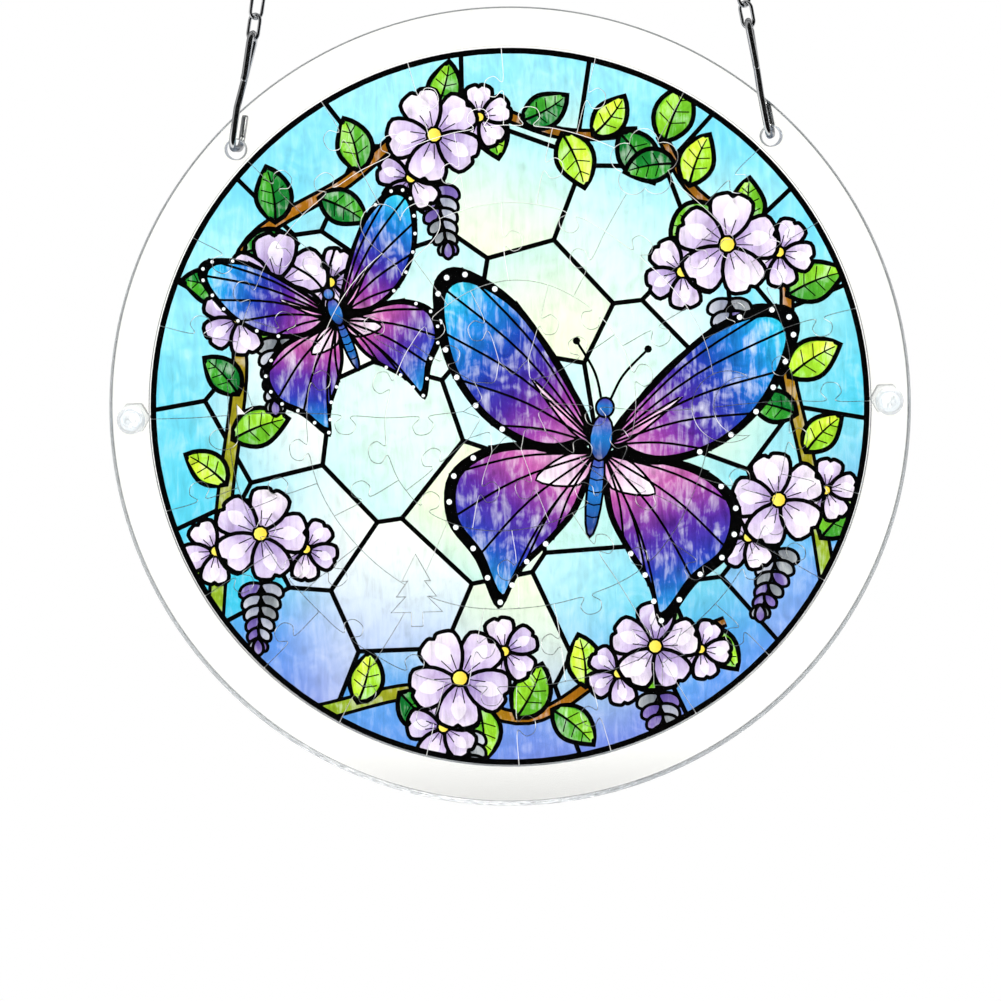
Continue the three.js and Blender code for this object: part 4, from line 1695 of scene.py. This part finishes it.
@dataclass
class Suspension:
    """The hooks, chains and end rings of both sides.

    Attributes:
        lean: degrees that they lean inwards.
        hook_wire: the hook's wire.
        hook_length: over all.
        hook_turn: degrees that a hook is turned about its own upright.
        bend: radius of the two bends that pass the hole.
        top_bend: radius of the bend that carries the chain.
        back_leg: height of the free end behind the frame.
        front_leg: length of the upper loop's free leg.
        flare: how far that leg's tip stands out.
        clear_of_edge: height at which the shank leans back.
        gap: between pieces that touch.
        link_wire: a link's wire.
        link_length: over all.
        link_width: over all.
        link_pitch: from one link to the next.
        link_turn: degrees that a link is turned out of the front view, to and fro.
        links: how many there are.
        ring_wire: the end ring's wire.
        ring_radius: of the middle line of that wire.
        ring_height: from the hook's foot to the middle of the ring.
        bend_points: how many points a bend of the hook has.
        link_points: how many the middle line of a link has.
    """

    lean: float = 10.2
    hook_wire: float = 1.7
    hook_length: float = 30.4
    hook_turn: float = -9
    bend: float = 3
    top_bend: float = 2.4
    back_leg: float = 8.5
    front_leg: float = 12
    flare: float = 0.8
    clear_of_edge: float = 10.1
    gap: float = 0.3
    link_wire: float = 0.9
    link_length: float = 7.3
    link_width: float = 4.4
    link_pitch: float = 5.4
    link_turn: float = -40
    links: int = 3
    ring_wire: float = 1.2
    ring_radius: float = 5.34
    ring_height: float = 48.35
    bend_points: int = 9
    link_points: int = 32

    def __post_init__(self) -> None:
        """Works out the heights of the hook's top and of the chain's foot, over the hook's foot."""
        self.hook_top = self.hook_length - self.hook_wire
        self.chain_foot = self.hook_top - self.hook_wire / 2 - self.gap - self.link_wire / 2

    def build(self) -> None:
        """Makes a hook, a link and a ring, and copies them to both sides."""
        material = BRIGHT_WIRE.build()
        hook = dress(self.wire("hook", self.hook_path(), self.hook_wire, False), material)
        link = dress(self.wire("link", self.oval(), self.link_wire, True), material)
        ring = dress(self.end_ring(), material)
        for label, sign in (("left", -1), ("right", 1)):
            stand = self.stand(label, sign)
            self.hang(hook, f"s_hook_{label}", stand, f"hook_{label}")
            for number in range(self.links):
                turn = -self.link_turn if number % 2 else self.link_turn
                height = self.chain_foot + (self.link_length - self.link_wire) / 2
                height += number * self.link_pitch
                place = stand @ self.lifted(height, turn)
                self.hang(link, f"chain_link_{label}_{number + 1}", place, f"chain_{label}")
            turn = self.link_turn - 90 if self.links % 2 else 90 - self.link_turn
            place = stand @ self.lifted(self.ring_height, turn)
            self.hang(ring, f"hanging_ring_{label}", place, f"end_ring_{label}")
        for master in (hook, link, ring):
            bpy.data.objects.remove(master)

    @staticmethod
    def hang(master: Piece, name: str, place: Matrix, node: str) -> None:
        """Puts a finished copy of a piece of wire in its place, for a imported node."""
        finish_piece(copy_of(master, name, place), "bright_steel", node, angle=60)

    def stand(self, label: str, sign: int) -> Matrix:
        """Gives the place of one side's upright, from the hook's foot through the end ring.

        Args:
            label: the side's name.
            sign: -1 for the left side and 1 for the right.

        Returns:
            The place.
        """
        low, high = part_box(f"end_ring_{label}")
        leaning = Matrix.Rotation(math.radians(-sign * self.lean), 4, "Y")
        return Matrix.Translation((low + high) / 2) @ leaning @ self.lifted(-self.ring_height, 0)

    @staticmethod
    def lifted(height: float, turn: float) -> Matrix:
        """Gives a move up by a height in millimetres, after a turn in degrees about the upright."""
        return Matrix.Translation((0, 0, height * MM)) @ Matrix.Rotation(math.radians(turn), 4, "Z")

    def hook_path(self) -> list[Vector]:
        """Gives the middle line of the S-hook, which starts behind the frame.

        Returns:
            Its points.
        """
        front = millimetre_box("front_plate")[0].y - self.gap - self.hook_wire / 2
        back = millimetre_box("back_plate")[1].y + self.gap + self.hook_wire / 2
        route = [complex(back, self.back_leg)]

        def add_bend(centre: complex, radius: float, start: float, end: float) -> None:
            """Adds a bend about a centre, from one angle to another."""
            route.extend(centre + polar(radius, np.linspace(start, end, self.bend_points)))

        add_bend(complex(back - self.bend, self.bend), self.bend, 0, -90)
        add_bend(complex(front + self.bend, self.bend), self.bend, -90, -180)
        route.append(complex(front, self.clear_of_edge))
        add_bend(complex(0, self.hook_top - self.top_bend), self.top_bend, 0, 180)
        tip = self.hook_top - self.front_leg
        route.append(complex(-self.top_bend, tip + self.hook_wire))
        route.append(complex(-self.top_bend - self.flare, tip))
        turn = Matrix.Rotation(math.radians(self.hook_turn), 3, "Z")
        return [turn @ Vector((0, point.real, point.imag)) for point in self.rounded(route)]

    def rounded(self, route: list[complex]) -> list[complex]:
        """Adds two close points at each end of a route, where the wire's tip is rounded.

        Args:
            route: the wire's middle line.

        Returns:
            The longer route.
        """
        first, last = route[1] - route[0], route[-2] - route[-1]
        first, last = first / abs(first) * self.hook_wire, last / abs(last) * self.hook_wire
        return [route[0], route[0] + 0.12 * first, route[0] + 0.4 * first, *route[1:-1],
                route[-1] + 0.4 * last, route[-1] + 0.12 * last, route[-1]]

    def oval(self) -> list[Vector]:
        """Gives the middle line of a link that stands about its own middle, square to the front view.

        Returns:
            Its points.
        """
        half_width = (self.link_width - self.link_wire) / 2
        straight = (self.link_length - self.link_width) / 2
        round_part = polar(half_width, (np.arange(self.link_points) + 0.5) * 360 / self.link_points)
        return [Vector((p.real, 0, p.imag + math.copysign(straight, p.imag))) for p in round_part]

    def end_ring(self) -> Piece:
        """Makes the end ring about its own middle, square to the front view.

        Returns:
            The ring.
        """
        deselect()
        bpy.ops.mesh.primitive_torus_add(
            major_radius=self.ring_radius * MM, minor_radius=self.ring_wire / 2 * MM, major_segments=64,
            minor_segments=14, rotation=(math.pi / 2, 0, 0),
        )
        ring = bpy.context.object
        bpy.ops.object.transform_apply(location=True, rotation=True, scale=True)
        return ring

    def wire(self, name: str, path: Sequence[Vector], thickness: float, closed: bool) -> Piece:
        """Bends a wire along a path.

        Args:
            name: the piece's name.
            path: the points of its middle line, in millimetres.
            thickness: of the wire.
            closed: whether it is a ring.

        Returns:
            The piece.
        """
        curve = bpy.data.curves.new(name, "CURVE")
        curve.dimensions = "3D"
        curve.bevel_depth = thickness / 2 * MM
        curve.bevel_resolution = 6
        curve.use_fill_caps = True
        curve.twist_mode = "MINIMUM"
        spline = curve.splines.new("POLY")
        spline.points.add(len(path) - 1)
        spline.use_cyclic_u = closed
        for number, point in enumerate(path):
            spline.points[number].co = (*(point * MM), 1)
        if not closed:
            for number, share in ((0, 0.5), (1, 0.88), (-2, 0.88), (-1, 0.5)):
                spline.points[number].radius = share
        piece = bpy.data.objects.new(name, curve)
        bpy.context.scene.collection.objects.link(piece)
        pick(piece)
        bpy.ops.object.convert(target="MESH")
        return bpy.context.object


@dataclass(frozen=True)
class Lamp:
    """A soft square lamp that faces the disc.

    Attributes:
        name: what it is called.
        place: where it stands, in metres.
        size: length of its side in metres.
        power: in watts.
    """

    name: str
    place: tuple[float, float, float]
    size: float
    power: float

    def build(self) -> None:
        """Sets it up."""
        data = bpy.data.lights.new(self.name, "AREA")
        data.size = self.size
        data.energy = self.power
        lamp = bpy.data.objects.new(self.name, data)
        lamp.visible_glossy = False
        bpy.context.scene.collection.objects.link(lamp)
        spot = Vector(self.place)
        towards = spot - Vector((0, 0, DISC_HEIGHT * MM))
        lamp.matrix_world = Matrix.Translation(spot) @ towards.to_track_quat("Z", "Y").to_matrix().to_4x4()


@dataclass
class Studio:
    """A pale floor, soft light, white surroundings and the camera.

    Attributes:
        distance: from the camera to what it looks at.
        elevation: degrees that it looks down by.
        roll: degrees that the object seems turned to the left.
        frame_width: width of the view at the disc.
        aim: what it looks at, from the middle of the disc.
        floor_drop: how far the floor is under the middle of the disc.
        floor_radius: of the floor.
        dark_way: the way to the dark side of the room, which only bright things mirror.
        mirrored: brightness of what they mirror at shares of the turn from the opposite side to that one.
        scattered: brightness of the light that matt surfaces get from all round.
        lamps: the lamps.
    """

    distance: float = 925
    elevation: float = 6
    roll: float = 1.45
    frame_width: float = 251.6
    aim: complex = -3.0 - 22.95j
    floor_drop: float = 640
    floor_radius: float = 1500
    dark_way: tuple[float, float, float] = (0.36, -0.92, 0.1)
    mirrored: tuple[tuple[float, float], ...] = ((0.18, 0.5), (0.28, 1.05), (0.6, 1.05), (0.66, 0.0))
    scattered: float = 0.5
    lamps: tuple[Lamp, ...] = (
        Lamp("key", (-0.95, -1.25, 0.75), 0.9, 15),
        Lamp("fill", (1.15, -1.1, 0.35), 0.9, 11),
        Lamp("back", (0.3, 1.5, 0.9), 1.0, 12),
    )

    def camera(self) -> None:
        """Sets the camera up."""
        tilt = math.radians(self.elevation)
        data = bpy.data.cameras.new("camera")
        data.lens_unit = "FOV"
        data.angle = 2 * math.atan(self.frame_width / 2 / self.distance)
        data.dof.use_dof = False
        camera = bpy.data.objects.new("camera", data)
        bpy.context.scene.collection.objects.link(camera)
        aim = Vector((self.aim.real, 0, DISC_HEIGHT + self.aim.imag))
        place = aim + Vector((0, -math.cos(tilt), math.sin(tilt))) * self.distance
        tilted = Matrix.Rotation(math.pi / 2 - tilt, 4, "X")
        rolled = Matrix.Rotation(-math.radians(self.roll), 4, "Z")
        camera.matrix_world = Matrix.Translation(place * MM) @ tilted @ rolled
        bpy.context.scene.camera = camera

    def surroundings(self) -> None:
        """Makes the surroundings white to look at, and darker in places in what mirrors or bends them."""
        world = bpy.data.worlds.new("studio")
        bpy.context.scene.world = world
        tree = empty_tree(world)
        rays = add_node(tree, "LightPath").node.outputs
        way = add_node(tree, "TexCoord", output="Generated")
        height = add_node(tree, "SeparateXYZ", {0: way}, "Z")

        def by_height(heights: tuple[float, float], light: tuple[float, float]) -> Socket:
            """Makes a brightness that changes between two heights of a ray's way.

            Args:
                heights: the two heights.
                light: the brightness at each.

            Returns:
                The brightness.
            """
            return add_node(tree, "MapRange", {
                "Value": height, "From Min": heights[0], "From Max": heights[1],
                "To Min": light[0], "To Max": light[1],
            })

        def unless(kind: str, light: object, instead: object) -> Socket:
            """Makes a brightness that another takes the place of once a ray has had a kind of bounce."""
            bounced = add_node(tree, "Math", {0: rays[kind], 1: 0.5}, operation="GREATER_THAN")
            return add_node(tree, "Mix", {0: bounced, 2: light, 3: instead})

        forwards = add_node(tree, "VectorMath", {0: way, 1: self.dark_way}, "Value", operation="DOT_PRODUCT")
        share = add_node(tree, "MapRange", {"Value": forwards, "From Min": -1.0})
        ramp_colour = add_node(tree, "ValToRGB", {0: share})
        stops = ramp_colour.node.color_ramp.elements
        for stop, (place, _) in zip(stops, self.mirrored):
            stop.position = place
        for place, _ in self.mirrored[len(stops):]:
            stops.new(place)
        for stop, (_, grey) in zip(stops, self.mirrored):
            stop.color = (grey, grey, grey, 1)
        overhead = by_height((0.1, 0.22), (1.0, 0.4))
        mirrored = add_node(tree, "Math", {0: ramp_colour, 1: overhead}, operation="MULTIPLY")
        bent = by_height((-0.187, -0.172), (0.95, 1.3))
        light = unless("Diffuse Depth", unless("Glossy Depth", bent, mirrored), self.scattered)
        seen = add_node(tree, "Mix", {0: rays["Is Camera Ray"], 2: light, 3: 1.0})
        end_tree(tree, "ShaderNodeOutputWorld",
                 add_node(tree, "Background", {"Color": (1, 1, 1, 1), "Strength": seen}))

    def floor(self) -> None:
        """Lays the round pale floor."""
        deselect()
        bpy.ops.mesh.primitive_circle_add(vertices=96, radius=self.floor_radius * MM, fill_type="NGON",
                                          location=(0, 0, (DISC_HEIGHT - self.floor_drop) * MM))
        floor = bpy.context.object
        floor.name = "floor"
        floor.visible_glossy = False
        dress(floor, WHITE_BOARD.build())

    def build(self) -> None:
        """Sets up all of it."""
        bpy.context.scene.view_settings.view_transform = "Standard"
        self.camera()
        self.surroundings()
        self.floor()
        for lamp in self.lamps:
            lamp.build()


def main() -> None:
    """Builds the suncatcher and the studio and reports each piece."""
    logging.basicConfig(level=logging.INFO, format="%(message)s")
    Studio().build()
    ClearFrame().build()
    Puzzle().build()
    Fasteners().build()
    Suspension().build()


if __name__ == "__main__":
    main()
